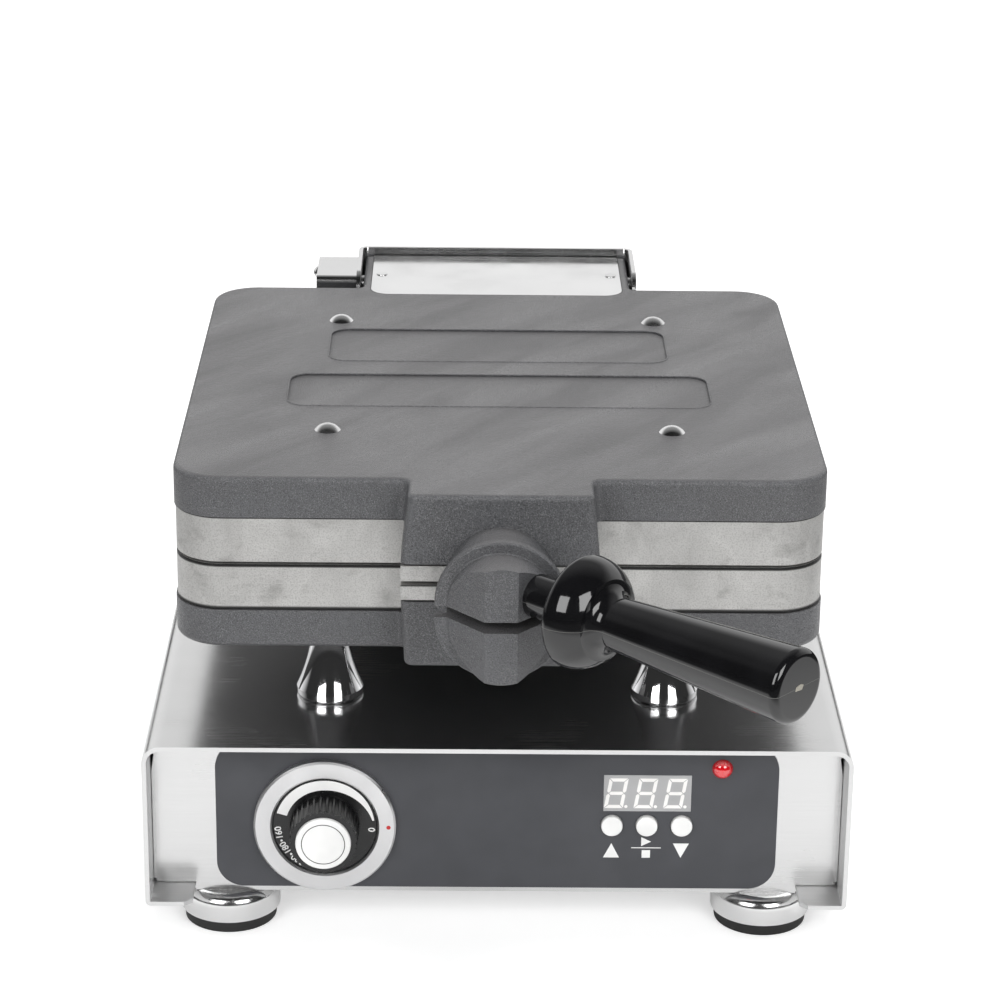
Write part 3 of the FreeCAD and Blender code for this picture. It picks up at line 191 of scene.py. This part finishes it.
class Look:
    """A procedural material built up round one Principled shader, in the object's own coordinates."""

    def __init__(self, name, color, roughness, metallic=0.0, **sockets):
        self.material = bpy.data.materials.new(name)
        self.material.use_nodes = True
        self.tree = self.material.node_tree
        self.shader = self.tree.nodes["Principled BSDF"]
        self.shader.inputs["Base Color"].default_value = (*color, 1.0)
        self.shader.inputs["Roughness"].default_value = roughness
        self.shader.inputs["Metallic"].default_value = metallic
        for socket, value in sockets.items():
            self.shader.inputs[socket.replace("_", " ")].default_value = value
        self.place = self.node("TexCoord").outputs["Object"]
        self.material.diffuse_color = (*color, 1.0)

    def node(self, kind, **settings):
        made = self.tree.nodes.new("ShaderNode" + kind)
        for key, value in settings.items():
            setattr(made, key, value)
        return made

    def join(self, source, target):
        self.tree.links.new(source, target)

    def stretched(self, stretch, turn=0.0):
        mapping = self.node("Mapping", vector_type="TEXTURE")
        mapping.inputs["Scale"].default_value = [1.0 / part for part in stretch]
        mapping.inputs["Rotation"].default_value = (0.0, 0.0, turn)
        self.join(self.place, mapping.inputs["Vector"])
        return mapping.outputs["Vector"]

    def noise(self, scale, detail=3.0, stretch=(1.0, 1.0, 1.0), turn=0.0, distortion=0.0):
        made = self.node("TexNoise")
        made.inputs["Scale"].default_value = scale
        made.inputs["Detail"].default_value = detail
        made.inputs["Distortion"].default_value = distortion
        self.join(self.stretched(stretch, turn), made.inputs["Vector"])
        return made.outputs["Fac"]

    def span(self, source, low, high, start=0.35, end=0.65):
        made = self.node("MapRange")
        made.inputs["From Min"].default_value = start
        made.inputs["From Max"].default_value = end
        made.inputs["To Min"].default_value = low
        made.inputs["To Max"].default_value = high
        self.join(source, made.inputs["Value"])
        return made.outputs["Result"]

    def combine(self, operation, first, second):
        made = self.node("Math", operation=operation)
        for socket, value in zip(made.inputs, (first, second)):
            if isinstance(value, float):
                socket.default_value = value
            else:
                self.join(value, socket)
        return made.outputs["Value"]

    def mix(self, factor, first, second):
        made = self.node("Mix", data_type="RGBA")
        self.join(factor, made.inputs[0])
        for socket, value in ((made.inputs[6], first), (made.inputs[7], second)):
            if isinstance(value, tuple):
                socket.default_value = (*value, 1.0)
            else:
                self.join(value, socket)
        return made.outputs[2]

    def axes(self, vector):
        split = self.node("SeparateXYZ")
        self.join(vector, split.inputs["Vector"])
        return split.outputs

    def normal(self):
        """The surface's direction in the part's own axes."""
        geometry = self.node("NewGeometry")
        turned = self.node("VectorTransform", vector_type="NORMAL")
        turned.convert_from = "WORLD"
        turned.convert_to = "OBJECT"
        self.join(geometry.outputs["Normal"], turned.inputs["Vector"])
        return self.axes(turned.outputs["Vector"])

    def facing(self, axis):
        """How squarely the surface faces along one axis of the part, from 0 to 1."""
        return self.combine("ABSOLUTE", self.normal()[axis], 0.0)

    def away(self, height):
        """Distance above or below a height."""
        offset = self.combine("SUBTRACT", self.axes(self.place)["Z"], height)
        return self.combine("ABSOLUTE", offset, 0.0)

    def inward(self):
        """1 on the inside of the folded base: sides that look to its middle and flanges that look up."""
        normal = self.normal()
        place = self.axes(self.place)
        looked = self.combine("MULTIPLY", normal["X"], place["X"])
        sides = self.span(looked, 1.0, 0.0, -0.08, -0.04)
        low = self.span(place["Z"], 1.0, 0.0, FLANGE_LEVEL, FLANGE_LEVEL + FLANGE_FADE)
        upward = self.span(normal["Z"], 0.0, 1.0, 0.5, 0.8)
        return self.combine("MAXIMUM", sides, self.combine("MULTIPLY", low, upward))

    def color(self, source):
        self.join(source, self.shader.inputs["Base Color"])

    def roughness(self, source):
        self.join(source, self.shader.inputs["Roughness"])

    def bump(self, height, strength, distance):
        made = self.node("Bump")
        made.inputs["Strength"].default_value = strength
        made.inputs["Distance"].default_value = distance
        self.join(height, made.inputs["Height"])
        normal = self.shader.inputs["Normal"]
        if normal.is_linked:
            self.join(normal.links[0].from_socket, made.inputs["Normal"])
        self.join(made.outputs["Normal"], normal)


def brushed(name, color, roughness):
    """Sheet steel brushed along X, or along Y where it faces sideways, with a few hand smudges."""
    look = Look(name, color, roughness, 1.0)
    across = look.noise(120.0, 2.0, (0.15, 40.0, 40.0))
    along = look.noise(120.0, 2.0, (40.0, 0.15, 40.0))
    side = look.span(look.facing("X"), 0.0, 1.0, 0.6, 0.8)
    lines = look.node("Mix")
    look.join(side, lines.inputs[0])
    look.join(across, lines.inputs[2])
    look.join(along, lines.inputs[3])
    grain = lines.outputs[0]
    smudge = look.span(look.noise(14.0, 3.0), -0.03, 0.04)
    finish = look.combine("ADD", look.span(grain, roughness - 0.04, roughness + 0.05), smudge)
    dulled = look.combine("MULTIPLY", look.inward(), MILL_FINISH)
    look.roughness(look.combine("ADD", finish, dulled))
    look.color(look.mix(look.span(grain, 0.0, 1.0), scaled(color, 0.95), scaled(color, 1.02)))
    look.bump(grain, 0.05, 0.0002)
    return look.material


def polished(name, color, roughness):
    """Bright metal with faint wiping marks."""
    look = Look(name, color, roughness, 1.0)
    wipe = look.noise(40.0, 4.0, (1.0, 1.0, 0.4), 0.6)
    look.roughness(look.span(wipe, roughness * 0.7, roughness * 1.4))
    tarnish = look.noise(18.0, 2.0)
    look.color(look.mix(look.span(tarnish, 0.0, 1.0), color, scaled(color, 0.94)))
    return look.material


def cast_paint():
    """Charcoal coat on a sand casting: fine grain on the sides with painted glints and painted shade in
    its pits, and a paler top that is partly wear and partly painted light, with wiped smears.
    """
    base = (0.090, 0.0915, 0.097)
    lit_and_worn = (0.122, 0.120, 0.123)
    dark = (0.034, 0.034, 0.036)
    painted_glint = (0.23, 0.233, 0.24)
    look = Look("cast_paint", base, 0.42)
    upright = look.facing("Z")
    top = look.span(upright, 0.0, 1.0, 0.75, 0.97)
    sides = look.span(upright, 1.0, 0.3, 0.75, 0.97)
    grain = look.noise(1500.0, 2.0)
    lumps = look.noise(420.0, 3.0)
    smear = look.noise(42.0, 4.0, (1.0, 0.22, 1.0), -0.7, 0.5)
    patch = look.noise(5.0, 2.0)
    speck = look.noise(2300.0, 1.0)
    pit = look.noise(1900.0, 1.0)
    # Painted light: the top is painted paler than the sides, standing in for light from above; partly
    # wear.
    toned = look.mix(top, base, lit_and_worn)
    wiped = look.mix(look.span(smear, 0.0, 0.45, 0.40, 0.66), toned, scaled(lit_and_worn, 0.62))
    cloudy = look.mix(look.span(patch, 0.0, 0.30, 0.42, 0.62), wiped, scaled(lit_and_worn, 1.25))
    # Painted shade in the grain's pits and painted glints on its specks, on the sides only.
    pit_shade = look.combine("MULTIPLY", look.span(pit, 0.0, 0.7, 0.50, 0.66), sides)
    glints = look.combine("MULTIPLY", look.span(speck, 0.0, 0.6, 0.52, 0.70), sides)
    look.color(look.mix(glints, look.mix(pit_shade, cloudy, dark), painted_glint))
    look.roughness(look.combine("ADD", look.span(smear, 0.30, 0.44), look.span(speck, 0.05, -0.07)))
    look.bump(lumps, 0.25, 0.0008)
    look.bump(grain, 0.55, 0.0007)
    return look.material


def cast_plate(edges):
    """Bare grey baking plate with oily smudges on its sides and painted shade as a dark line along each
    edge and the seam.
    """
    base = (0.60, 0.595, 0.58)
    oil = (0.25, 0.245, 0.235)
    pore = (0.20, 0.195, 0.19)
    black = (0.02, 0.02, 0.02)
    look = Look("cast_plate", base, 0.42, 0.75)
    mill = look.noise(90.0, 3.0, (0.3, 0.3, 8.0))
    grain = look.noise(1500.0, 2.0)
    smudge = look.noise(48.0, 6.0, (1.0, 1.0, 0.7), 0.2, 0.8)
    stain = look.noise(95.0, 6.0, (1.0, 1.0, 1.4))
    level = look.facing("Z")
    toned = look.mix(look.span(smudge, 0.0, 1.0, 0.34, 0.66), scaled(base, 0.85), scaled(base, 1.09))
    stained = look.mix(look.span(stain, 0.0, 0.5, 0.57, 0.75), toned, oil)
    even = look.mix(look.span(level, 0.0, 0.8, 0.85, 0.95), stained, base)
    grained = look.mix(look.span(grain, 0.0, 0.35, 0.45, 0.7), even, pore)
    # Painted shade: dark lines where the plates meet each other and the cases.
    edge_shade = 0.0
    for height, reach in edges:
        line = look.span(look.away(height), 0.95, 0.0, reach * LINE_FADE, reach)
        edge_shade = look.combine("MAXIMUM", line, edge_shade)
    edge_shade = look.combine("MULTIPLY", edge_shade, look.span(level, 1.0, 0.0, 0.85, 0.95))
    look.color(look.mix(edge_shade, grained, black))
    look.roughness(look.combine("ADD", look.span(smudge, 0.38, 0.48), look.span(mill, -0.04, 0.04)))
    look.bump(mill, 0.12, 0.0004)
    look.bump(grain, 0.2, 0.0003)
    return look.material


def moulded(name, color, roughness, grain=300.0, depth=0.05):
    """Plastic or rubber with a faint moulded texture."""
    look = Look(name, color, roughness)
    texture = look.noise(grain, 3.0)
    look.bump(texture, depth, 0.0003)
    look.roughness(look.span(look.noise(35.0, 3.0), roughness * 0.8, roughness * 1.2))
    tone = look.noise(50.0, 2.0)
    look.color(look.mix(look.span(tone, 0.0, 1.0), color, scaled(color, 0.88)))
    return look.material


def bakelite(seam_height):
    """Glossy black moulding with a pale parting line round its middle height."""
    black = (0.004, 0.004, 0.0045)
    pale = (0.10, 0.10, 0.095)
    look = Look("bakelite", black, 0.07, IOR=1.65)
    seam = look.span(look.away(seam_height), 1.0, 0.0, SEAM_HALF * MM * LINE_FADE, SEAM_HALF * MM)
    haze = look.noise(60.0, 3.0)
    tone = look.mix(look.span(haze, 0.0, 1.0), black, scaled(black, 1.5))
    look.color(look.mix(seam, tone, pale))
    rough_seam = look.combine("MULTIPLY", seam, 0.4)
    look.roughness(look.combine("ADD", look.span(haze, 0.05, 0.09), rough_seam))
    look.bump(look.noise(120.0, 3.0), 0.01, 0.0003)
    return look.material


def lamp_lens():
    """Glossy red lens with painted shade darkening it towards the rim, and a faint glow."""
    red = (0.72, 0.006, 0.014)
    rim_shade = (0.14, 0.002, 0.004)
    look = Look("lamp_red", red, 0.04, IOR=1.9, Coat_Weight=1.0)
    # Painted shade: darker red where the lens turns away from the front.
    look.color(look.mix(look.span(look.facing("Y"), 0.0, 1.0, 0.25, 0.8), rim_shade, red))
    look.shader.inputs["Emission Color"].default_value = (0.9, 0.012, 0.02, 1.0)
    look.shader.inputs["Emission Strength"].default_value = 0.06
    return look.material


# Heights of the plate edges and seam that get painted shade lines.
PLATE_EDGES = (
    (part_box("lower_plate")[0].z, LINE_LOW),
    (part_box("lower_plate")[1].z, LINE_SEAM),
    (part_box("upper_plate")[1].z, LINE_TOP),
)
LOOKS = {
    "stainless": brushed("stainless", (0.69, 0.69, 0.69), 0.2),
    "cast_paint": cast_paint(),
    "cast_plate": cast_plate(PLATE_EDGES),
    "chrome": polished("chrome", (0.86, 0.86, 0.87), 0.06),
    "polished_steel": polished("polished_steel", (0.80, 0.80, 0.80), 0.17),
    "black_rubber": moulded("black_rubber", (0.018, 0.018, 0.018), 0.75, 500.0, 0.2),
    "bakelite": bakelite(sum(corner.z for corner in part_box("handle_rod")) / 2),
    "overlay": moulded("overlay", (0.058, 0.060, 0.068), 0.5, 1200.0, 0.12),
    "bezel": polished("bezel", (0.75, 0.75, 0.755), 0.36),
    "dial_black": moulded("dial_black", (0.007, 0.007, 0.0075), 0.25, 700.0, 0.05),
    "white_plastic": moulded("white_plastic", (0.90, 0.90, 0.89), 0.3),
    "button_plastic": moulded("button_plastic", (0.94, 0.94, 0.93), 0.35),
    "lamp_red": lamp_lens(),
    "display_grey": moulded("display_grey", (0.44, 0.44, 0.445), 0.3, 900.0, 0.03),
    "black_plastic": moulded("black_plastic", (0.02, 0.02, 0.02), 0.5),
    "circuit_board": moulded("circuit_board", (0.02, 0.12, 0.05), 0.4),
    "ceramic": moulded("ceramic", (0.75, 0.72, 0.65), 0.3),
    "element": brushed("element", (0.25, 0.24, 0.23), 0.5),
    "steel_hardware": polished("steel_hardware", (0.78, 0.78, 0.78), 0.2),
}
PRINT_WHITE = moulded("print_white", (0.94, 0.94, 0.93), 0.45)
PRINT_BLACK = moulded("print_black", (0.02, 0.02, 0.02), 0.4)
PRINT_RED = moulded("print_red", (0.55, 0.02, 0.02), 0.4)
SEGMENT_PALE = moulded("segment_pale", (0.94, 0.93, 0.91), 0.35)
GATE_TAN = moulded("gate_tan", (0.36, 0.34, 0.29), 0.8, 900.0, 0.3)

SLOT_OF = {row["node"]: row["material_slot"] for row in frame["record"]["subparts"]}
for name, node in nodes.items():
    node.data.materials.clear()
    node.data.materials.append(LOOKS[SLOT_OF[name]])


# Small pieces


def add_piece(name, mesh, material, body):
    piece = bpy.data.objects.new(name, mesh)
    scene.collection.objects.link(piece)
    mesh.materials.clear()
    mesh.materials.append(material)
    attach(piece, body)
    return piece


def polar(x, z, reach, turn):
    return (x + reach * math.cos(turn), z + reach * math.sin(turn))


def quarter(x, z, radius, start):
    """Points round a quarter of a circle, from a start in degrees."""
    turns = [math.radians(start + 90.0 * step / CORNER_STEPS) for step in range(CORNER_STEPS + 1)]
    return [polar(x, z, radius, turn) for turn in turns]


def block(x, z, half_width, half_height):
    left = x - half_width
    right = x + half_width
    low = z - half_height
    high = z + half_height
    return [(left, low), (right, low), (right, high), (left, high)]


def steady(radius):
    return lambda way: radius


def printed(name, outlines, face_y, material, body, sheet=PRINT_SHEET, sink=PRINT_SINK):
    """Thin raised print on a face that looks to the front: outlines of (x, z) points in millimetres."""
    shape = bmesh.new()
    front = face_y - sheet * MM
    back = face_y + sink * MM
    for outline in outlines:
        near = [shape.verts.new((x * MM, front, z * MM)) for x, z in outline]
        far = [shape.verts.new((x * MM, back, z * MM)) for x, z in outline]
        shape.faces.new(near)
        shape.faces.new(list(reversed(far)))
        for index in range(len(outline)):
            following = (index + 1) % len(outline)
            shape.faces.new((near[index], far[index], far[following], near[following]))
    bmesh.ops.recalc_face_normals(shape, faces=shape.faces)
    mesh = bpy.data.meshes.new(name)
    shape.to_mesh(mesh)
    shape.free()
    return add_piece(name, mesh, material, body)


def disc(x, z, radius, count):
    turns = [math.tau * step / count for step in range(count)]
    return [polar(x, z, radius, turn) for turn in turns]


def band(x, z, inner, outer, start, end):
    """Quads along an arc; inner and outer give the radii as functions of the way along it."""
    quads = []
    for step in range(BAND_STEPS):
        corners = []
        ways = (step / BAND_STEPS, (step + 1) / BAND_STEPS)
        for way, radius in ((ways[0], inner), (ways[0], outer), (ways[1], outer), (ways[1], inner)):
            turn = math.radians(start + (end - start) * way)
            corners.append(polar(x, z, radius(way), turn))
        quads.append(corners)
    return quads


def ring_band(name, x, z, inner, outer, start, end, face_y, material, body):
    """One closed printed band along an arc, welded from its quads."""
    piece = printed(name, band(x, z, inner, outer, start, end), face_y, material, body)
    shape = bmesh.new()
    shape.from_mesh(piece.data)
    bmesh.ops.remove_doubles(shape, verts=shape.verts, dist=WELD_DISTANCE)
    seen = {}
    for face in shape.faces:
        seen.setdefault(frozenset(vert.index for vert in face.verts), []).append(face)
    doubled = [face for faces in seen.values() if len(faces) > 1 for face in faces]
    bmesh.ops.delete(shape, geom=doubled, context="FACES_ONLY")
    shape.to_mesh(piece.data)
    shape.free()


def curve_mesh(curve):
    """Solid mesh of a text or a bevelled path."""
    holder = bpy.data.objects.new("curve", curve)
    scene.collection.objects.link(holder)
    bpy.context.view_layer.update()
    depsgraph = bpy.context.evaluated_depsgraph_get()
    mesh = bpy.data.meshes.new_from_object(holder.evaluated_get(depsgraph))
    bpy.data.objects.remove(holder)
    return mesh


def lettered(name, text, size, place, right, up, material, body):
    """Raised figures: centred on a place, with their own right and up directions."""
    curve = bpy.data.curves.new(name, "FONT")
    curve.body = text
    curve.size = size * MM
    curve.align_x = "CENTER"
    curve.align_y = "CENTER"
    curve.extrude = PRINT_SHEET * MM
    curve.offset = NUMBER_WEIGHT * MM
    mesh = curve_mesh(curve)
    out = right.cross(up)
    turn = Matrix((right, up, out)).transposed().to_4x4()
    mesh.transform(Matrix.Translation(place) @ turn)
    add_piece(name, mesh, material, body)


def dial_marks():
    overlay_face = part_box("control_overlay")[0].y
    skirt_face = overlay_face - (SKIRT_GAP + SKIRT_SHEET) * MM

    def wedge_inner(way):
        swell = math.sin(min(1.0, way / WEDGE_SWELL) * math.pi / 2)
        return WEDGE_OUTER - WEDGE_TIP - (WEDGE_WIDTH - WEDGE_TIP) * swell

    ring_band("dial_wedge", DIAL_X, DIAL_Z, wedge_inner, steady(WEDGE_OUTER), WEDGE_THIN, WEDGE_THICK,
              skirt_face, PRINT_WHITE, "dial")
    labels = [(ZERO_ANGLE, "0")]
    dots = []
    for index, text in enumerate(NUMBERS):
        angle = NUMBER_START + NUMBER_STEP * index
        labels.append((angle, text))
        if index + 1 < len(NUMBERS):
            turn = math.radians(angle + NUMBER_STEP / 2)
            x, z = polar(DIAL_X, DIAL_Z, NUMBER_RADIUS, turn)
            dots.append(disc(x, z, DOT_RADIUS, DOT_SIDES))
    for angle, text in labels:
        turn = math.radians(angle)
        up = Vector((math.cos(turn), 0.0, math.sin(turn)))
        right = Vector((math.sin(turn), 0.0, -math.cos(turn)))
        place = Vector((DIAL_X * MM, skirt_face, DIAL_Z * MM)) + up * NUMBER_RADIUS * MM
        name = "dial_number_" + text
        lettered(name, text, NUMBER_SIZE, place, right, up, PRINT_WHITE, "dial")
    printed("dial_dots", dots, skirt_face, PRINT_WHITE, "dial")
    bezel_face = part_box("dial_bezel")[0].y
    pointer = [disc(DIAL_X + POINTER_RADIUS, DIAL_Z, POINTER_SIZE, POINTER_SIDES)]
    printed("dial_pointer", pointer, bezel_face, PRINT_RED, "base")
    cap_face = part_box("dial_cap")[0].y
    line_outer = steady(CAP_LINE_RADIUS + CAP_LINE_WIDTH)
    ring_band("cap_line", DIAL_X, DIAL_Z, steady(CAP_LINE_RADIUS), line_outer, 0.0, FULL_TURN,
              cap_face, PRINT_BLACK, "dial")


def digit_outlines(centre_x, centre_z):
    """Seven slanted bars and the point of one digit."""
    half = DIGIT_WIDTH / 2 - DIGIT_STROKE / 2
    tall = DIGIT_HEIGHT / 2 - DIGIT_STROKE / 2
    thick = DIGIT_STROKE / 2

    def bar(start, end, out, start_mitred, end_mitred):
        along = (Vector(end) - Vector(start)).normalized()
        outside = Vector(out) * thick

        def tip(place, inward, mitred):
            if mitred:
                return [place - inward * thick + outside, place + inward * thick - outside]
            return [place + inward * thick + outside, place, place + inward * thick - outside]

        points = tip(Vector(start) + along * DIGIT_GAP, along, start_mitred)
        points += reversed(tip(Vector(end) - along * DIGIT_GAP, -along, end_mitred))
        return [(centre_x + p.x + DIGIT_SLANT * p.y, centre_z + p.y) for p in points]

    outlines = [bar((-half, 0.0), (half, 0.0), (0.0, 1.0), False, False)]
    for way in (-1.0, 1.0):
        outlines.append(bar((-half, way * tall), (half, way * tall), (0.0, way), True, True))
        outlines.append(bar((way * half, -tall), (way * half, 0.0), (way, 0.0), True, False))
        outlines.append(bar((way * half, 0.0), (way * half, tall), (way, 0.0), False, True))
    point_x = centre_x + half + POINT_RADIUS * POINT_OUT - DIGIT_SLANT * tall
    outlines.append(disc(point_x, centre_z - tall, POINT_RADIUS, POINT_SIDES))
    return outlines


def timer_marks():
    lens_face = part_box("display_lens")[0].y
    overlay_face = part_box("control_overlay")[0].y
    bars = []
    for step in (-1, 0, 1):
        bars += digit_outlines(CONTROL_X + step * DIGIT_PITCH - POINT_RADIUS, LENS_Z)
    printed("display_digits", bars, lens_face, SEGMENT_PALE, "base")
    left = CONTROL_X - BUTTON_PITCH
    right = CONTROL_X + BUTTON_PITCH
    low = ICON_Z - ICON_HALF
    high = ICON_Z + ICON_HALF
    icons = [
        [(left - ICON_HALF, low), (left + ICON_HALF, low), (left, high)],
        [(right - ICON_HALF, high), (right, low), (right + ICON_HALF, high)],
    ]
    play_z = ICON_Z + PLAY_RISE
    back = CONTROL_X - PLAY_HALF
    icons.append([(back, play_z - PLAY_HALF), (CONTROL_X + PLAY_HALF, play_z), (back, play_z + PLAY_HALF)])
    icons.append(block(CONTROL_X, ICON_Z + RULE_RISE, RULE_HALF, RULE_HALF_HEIGHT))
    icons.append(block(CONTROL_X, ICON_Z - STOP_DROP, STOP_HALF, STOP_HALF))
    printed("timer_icons", icons, overlay_face, PRINT_WHITE, "base")


def panel_edges():
    """Steel strips that bring the panel's face up to the shell's sides and round its top corners."""
    low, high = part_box("front_panel")
    half = high.x / MM
    top = high.z / MM
    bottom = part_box("base_shell")[0].z / MM + STRIP_LOW
    slope = RELIEF_DROP / RELIEF_WIDTH
    bend = half - BEND_START
    knee = top - RELIEF_DROP + slope * BEND_START
    outline = [(bend - STRIP_OVERLAP, bottom), (half, bottom), (half, top - NOTCH_BOTTOM)]
    outline += [(half - NOTCH_WIDTH, top - NOTCH_TOP), (half, top - NOTCH_TOP + NOTCH_WIDTH)]
    outline += quarter(half - CORNER_ROUND, top - CORNER_ROUND, CORNER_ROUND, 0.0)
    outline += [(half - RELIEF_WIDTH - STRIP_OVERLAP, top), (bend - STRIP_OVERLAP, knee)]
    for side, name in ((-1, "panel_edge_left"), (1, "panel_edge_right")):
        shape = [(side * x, z) for x, z in outline]
        face = low.y + STRIP_SET_BACK * MM
        printed(name, [shape], face, LOOKS["stainless"], "base", 0.0, STRIP_SHEET)


def recess_rims():
    """Thin cast beads round the lid's recesses."""
    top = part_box("upper_case")[1].z - RIM_SINK * MM
    for index, (half, front, length) in enumerate(RECESSES):
        side = half - RECESS_CORNER
        near = front + RECESS_CORNER
        far = front + length - RECESS_CORNER
        path = quarter(side, far, RECESS_CORNER, 0.0)
        path += quarter(-side, far, RECESS_CORNER, 90.0)
        path += quarter(-side, near, RECESS_CORNER, 180.0)
        path += quarter(side, near, RECESS_CORNER, 270.0)
        curve = bpy.data.curves.new("rim_path", "CURVE")
        curve.dimensions = "3D"
        curve.bevel_depth = RIM_RADIUS * MM
        curve.bevel_resolution = 1
        spline = curve.splines.new("POLY")
        spline.points.add(len(path) - 1)
        for point, (x, y) in zip(spline.points, path):
            point.co = (x * MM, y * MM, top, 1.0)
        spline.use_cyclic_u = True
        name = "recess_rim_%d" % (index + 1)
        add_piece(name, curve_mesh(curve), LOOKS["cast_paint"], "lid")


def grip_gate():
    """Rough moulding mark at the middle of the grip's end face, across the parting line."""
    low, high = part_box("handle_rod")
    along = Vector((math.sin(HANDLE_TURN), -math.cos(HANDLE_TURN), 0.0))
    end = (low + high) / 2 + along * (HANDLE_LENGTH - ROD_MIDDLE) * MM
    outline = [(x * GATE_HALF_WIDTH, z * GATE_HALF_HEIGHT) for x, z in GATE_OUTLINE]
    gate = printed("grip_gate", [outline], 0.0, GATE_TAN, "lid")
    gate.data.transform(Matrix.Translation(end) @ Matrix.Rotation(HANDLE_TURN, 4, "Z"))


dial_marks()
timer_marks()
panel_edges()
recess_rims()
grip_gate()


# Floor, light and camera


def node_span(tree, source, start, end, low, high):
    """Map a value from one range to another, held at the ends."""
    made = tree.nodes.new("ShaderNodeMapRange")
    for socket, value in zip(("From Min", "From Max", "To Min", "To Max"), (start, end, low, high)):
        made.inputs[socket].default_value = value
    tree.links.new(source, made.inputs["Value"])
    return made.outputs["Result"]


def node_pick(tree, factor, first, second):
    """Choose between two values, each a number or a socket."""
    made = tree.nodes.new("ShaderNodeMix")
    tree.links.new(factor, made.inputs[0])
    for socket, value in ((made.inputs[2], first), (made.inputs[3], second)):
        if isinstance(value, float):
            socket.default_value = value
        else:
            tree.links.new(value, socket)
    return made.outputs[0]


def make_floor():
    """White floor that takes the object's shadow and fades into the white behind it."""
    mesh = bpy.data.meshes.new("floor")
    corners = [(x, y, FLOOR_LEVEL) for x, y in block(0.0, 0.0, FLOOR_HALF, FLOOR_HALF)]
    mesh.from_pydata(corners, [], [(0, 1, 2, 3)])
    floor = bpy.data.objects.new("floor", mesh)
    scene.collection.objects.link(floor)
    material = bpy.data.materials.new("floor")
    material.use_nodes = True
    tree = material.node_tree
    tree.nodes.clear()
    output = tree.nodes.new("ShaderNodeOutputMaterial")
    diffuse = tree.nodes.new("ShaderNodeBsdfDiffuse")
    glow = tree.nodes.new("ShaderNodeEmission")
    place = tree.nodes.new("ShaderNodeTexCoord")
    away = tree.nodes.new("ShaderNodeVectorMath")
    away.operation = "LENGTH"
    tree.links.new(place.outputs["Object"], away.inputs[0])
    far = away.outputs["Value"]
    lift = node_span(tree, far, FLOOR_NEAR, FLOOR_FAR, FLOOR_LIFT, FLOOR_LIFT_FAR)
    path = tree.nodes.new("ShaderNodeLightPath")
    dimmed = node_span(tree, far, MIRRORED_NEAR, MIRRORED_FAR, FLOOR_TONE, MIRRORED_TONE_FAR)
    tone = node_pick(tree, path.outputs["Is Glossy Ray"], FLOOR_TONE, dimmed)
    tree.links.new(tone, diffuse.inputs["Color"])
    glint = node_span(tree, far, MIRRORED_NEAR, MIRRORED_FAR, FLOOR_LIFT_MIRRORED, 0.0)
    level = node_pick(tree, path.outputs["Is Glossy Ray"], 0.0, glint)
    level = node_pick(tree, path.outputs["Is Transmission Ray"], level, lift)
    level = node_pick(tree, path.outputs["Is Camera Ray"], level, lift)
    tree.links.new(level, glow.inputs["Strength"])
    both = tree.nodes.new("ShaderNodeAddShader")
    tree.links.new(diffuse.outputs["BSDF"], both.inputs[0])
    tree.links.new(glow.outputs["Emission"], both.inputs[1])
    tree.links.new(both.outputs["Shader"], output.inputs["Surface"])
    mesh.materials.append(material)


def make_world():
    """White all round for the eye; mirrors see it white behind and dim overhead and in front."""
    world = bpy.data.worlds.new("studio")
    scene.world = world
    world.use_nodes = True
    tree = world.node_tree
    ground = tree.nodes["Background"]
    path = tree.nodes.new("ShaderNodeLightPath")
    place = tree.nodes.new("ShaderNodeTexCoord")
    axes = tree.nodes.new("ShaderNodeSeparateXYZ")
    tree.links.new(place.outputs["Generated"], axes.inputs["Vector"])
    behind = node_span(tree, axes.outputs["Y"], BACKDROP_START, BACKDROP_END, STUDIO_FRONT, 1.0)
    overhead = node_span(tree, axes.outputs["Z"], OVERHEAD_START, OVERHEAD_END, 1.0, STUDIO_TOP)
    mirrored = tree.nodes.new("ShaderNodeMath")
    mirrored.operation = "MULTIPLY"
    tree.links.new(behind, mirrored.inputs[0])
    tree.links.new(overhead, mirrored.inputs[1])
    level = node_pick(tree, path.outputs["Is Glossy Ray"], STUDIO_FILL, mirrored.outputs["Value"])
    level = node_pick(tree, path.outputs["Is Transmission Ray"], level, 1.0)
    level = node_pick(tree, path.outputs["Is Camera Ray"], level, 1.0)
    ground.inputs["Color"].default_value = (1.0, 1.0, 1.0, 1.0)
    tree.links.new(level, ground.inputs["Strength"])


def add_softbox(name, place, aim, width, height, power, mirrored):
    light = bpy.data.lights.new(name, "AREA")
    light.shape = "RECTANGLE"
    light.size = width
    light.size_y = height
    light.energy = power
    holder = bpy.data.objects.new(name, light)
    scene.collection.objects.link(holder)
    holder.location = place
    holder.rotation_euler = (Vector(aim) - Vector(place)).to_track_quat("-Z", "Y").to_euler()
    holder.visible_glossy = mirrored


def make_camera():
    ahead = math.cos(CAMERA_PITCH)
    drop = math.sin(CAMERA_PITCH)
    forward = Vector((math.sin(CAMERA_YAW) * ahead, math.cos(CAMERA_YAW) * ahead, -drop))
    level_right = Vector((math.cos(CAMERA_YAW), -math.sin(CAMERA_YAW), 0.0))
    level_up = level_right.cross(forward)
    right = level_right * math.cos(CAMERA_ROLL) + level_up * math.sin(CAMERA_ROLL)
    up = level_up * math.cos(CAMERA_ROLL) - level_right * math.sin(CAMERA_ROLL)
    data = bpy.data.cameras.new("camera")
    data.lens = CAMERA_LENS
    data.sensor_width = CAMERA_SENSOR
    camera = bpy.data.objects.new("camera", data)
    scene.collection.objects.link(camera)
    turn = Matrix((right, up, -forward)).transposed().to_4x4()
    camera.matrix_world = Matrix.Translation(CAMERA_PLACE) @ turn
    scene.camera = camera


make_floor()
make_world()
for softbox in SOFTBOXES:
    add_softbox(*softbox)
make_camera()
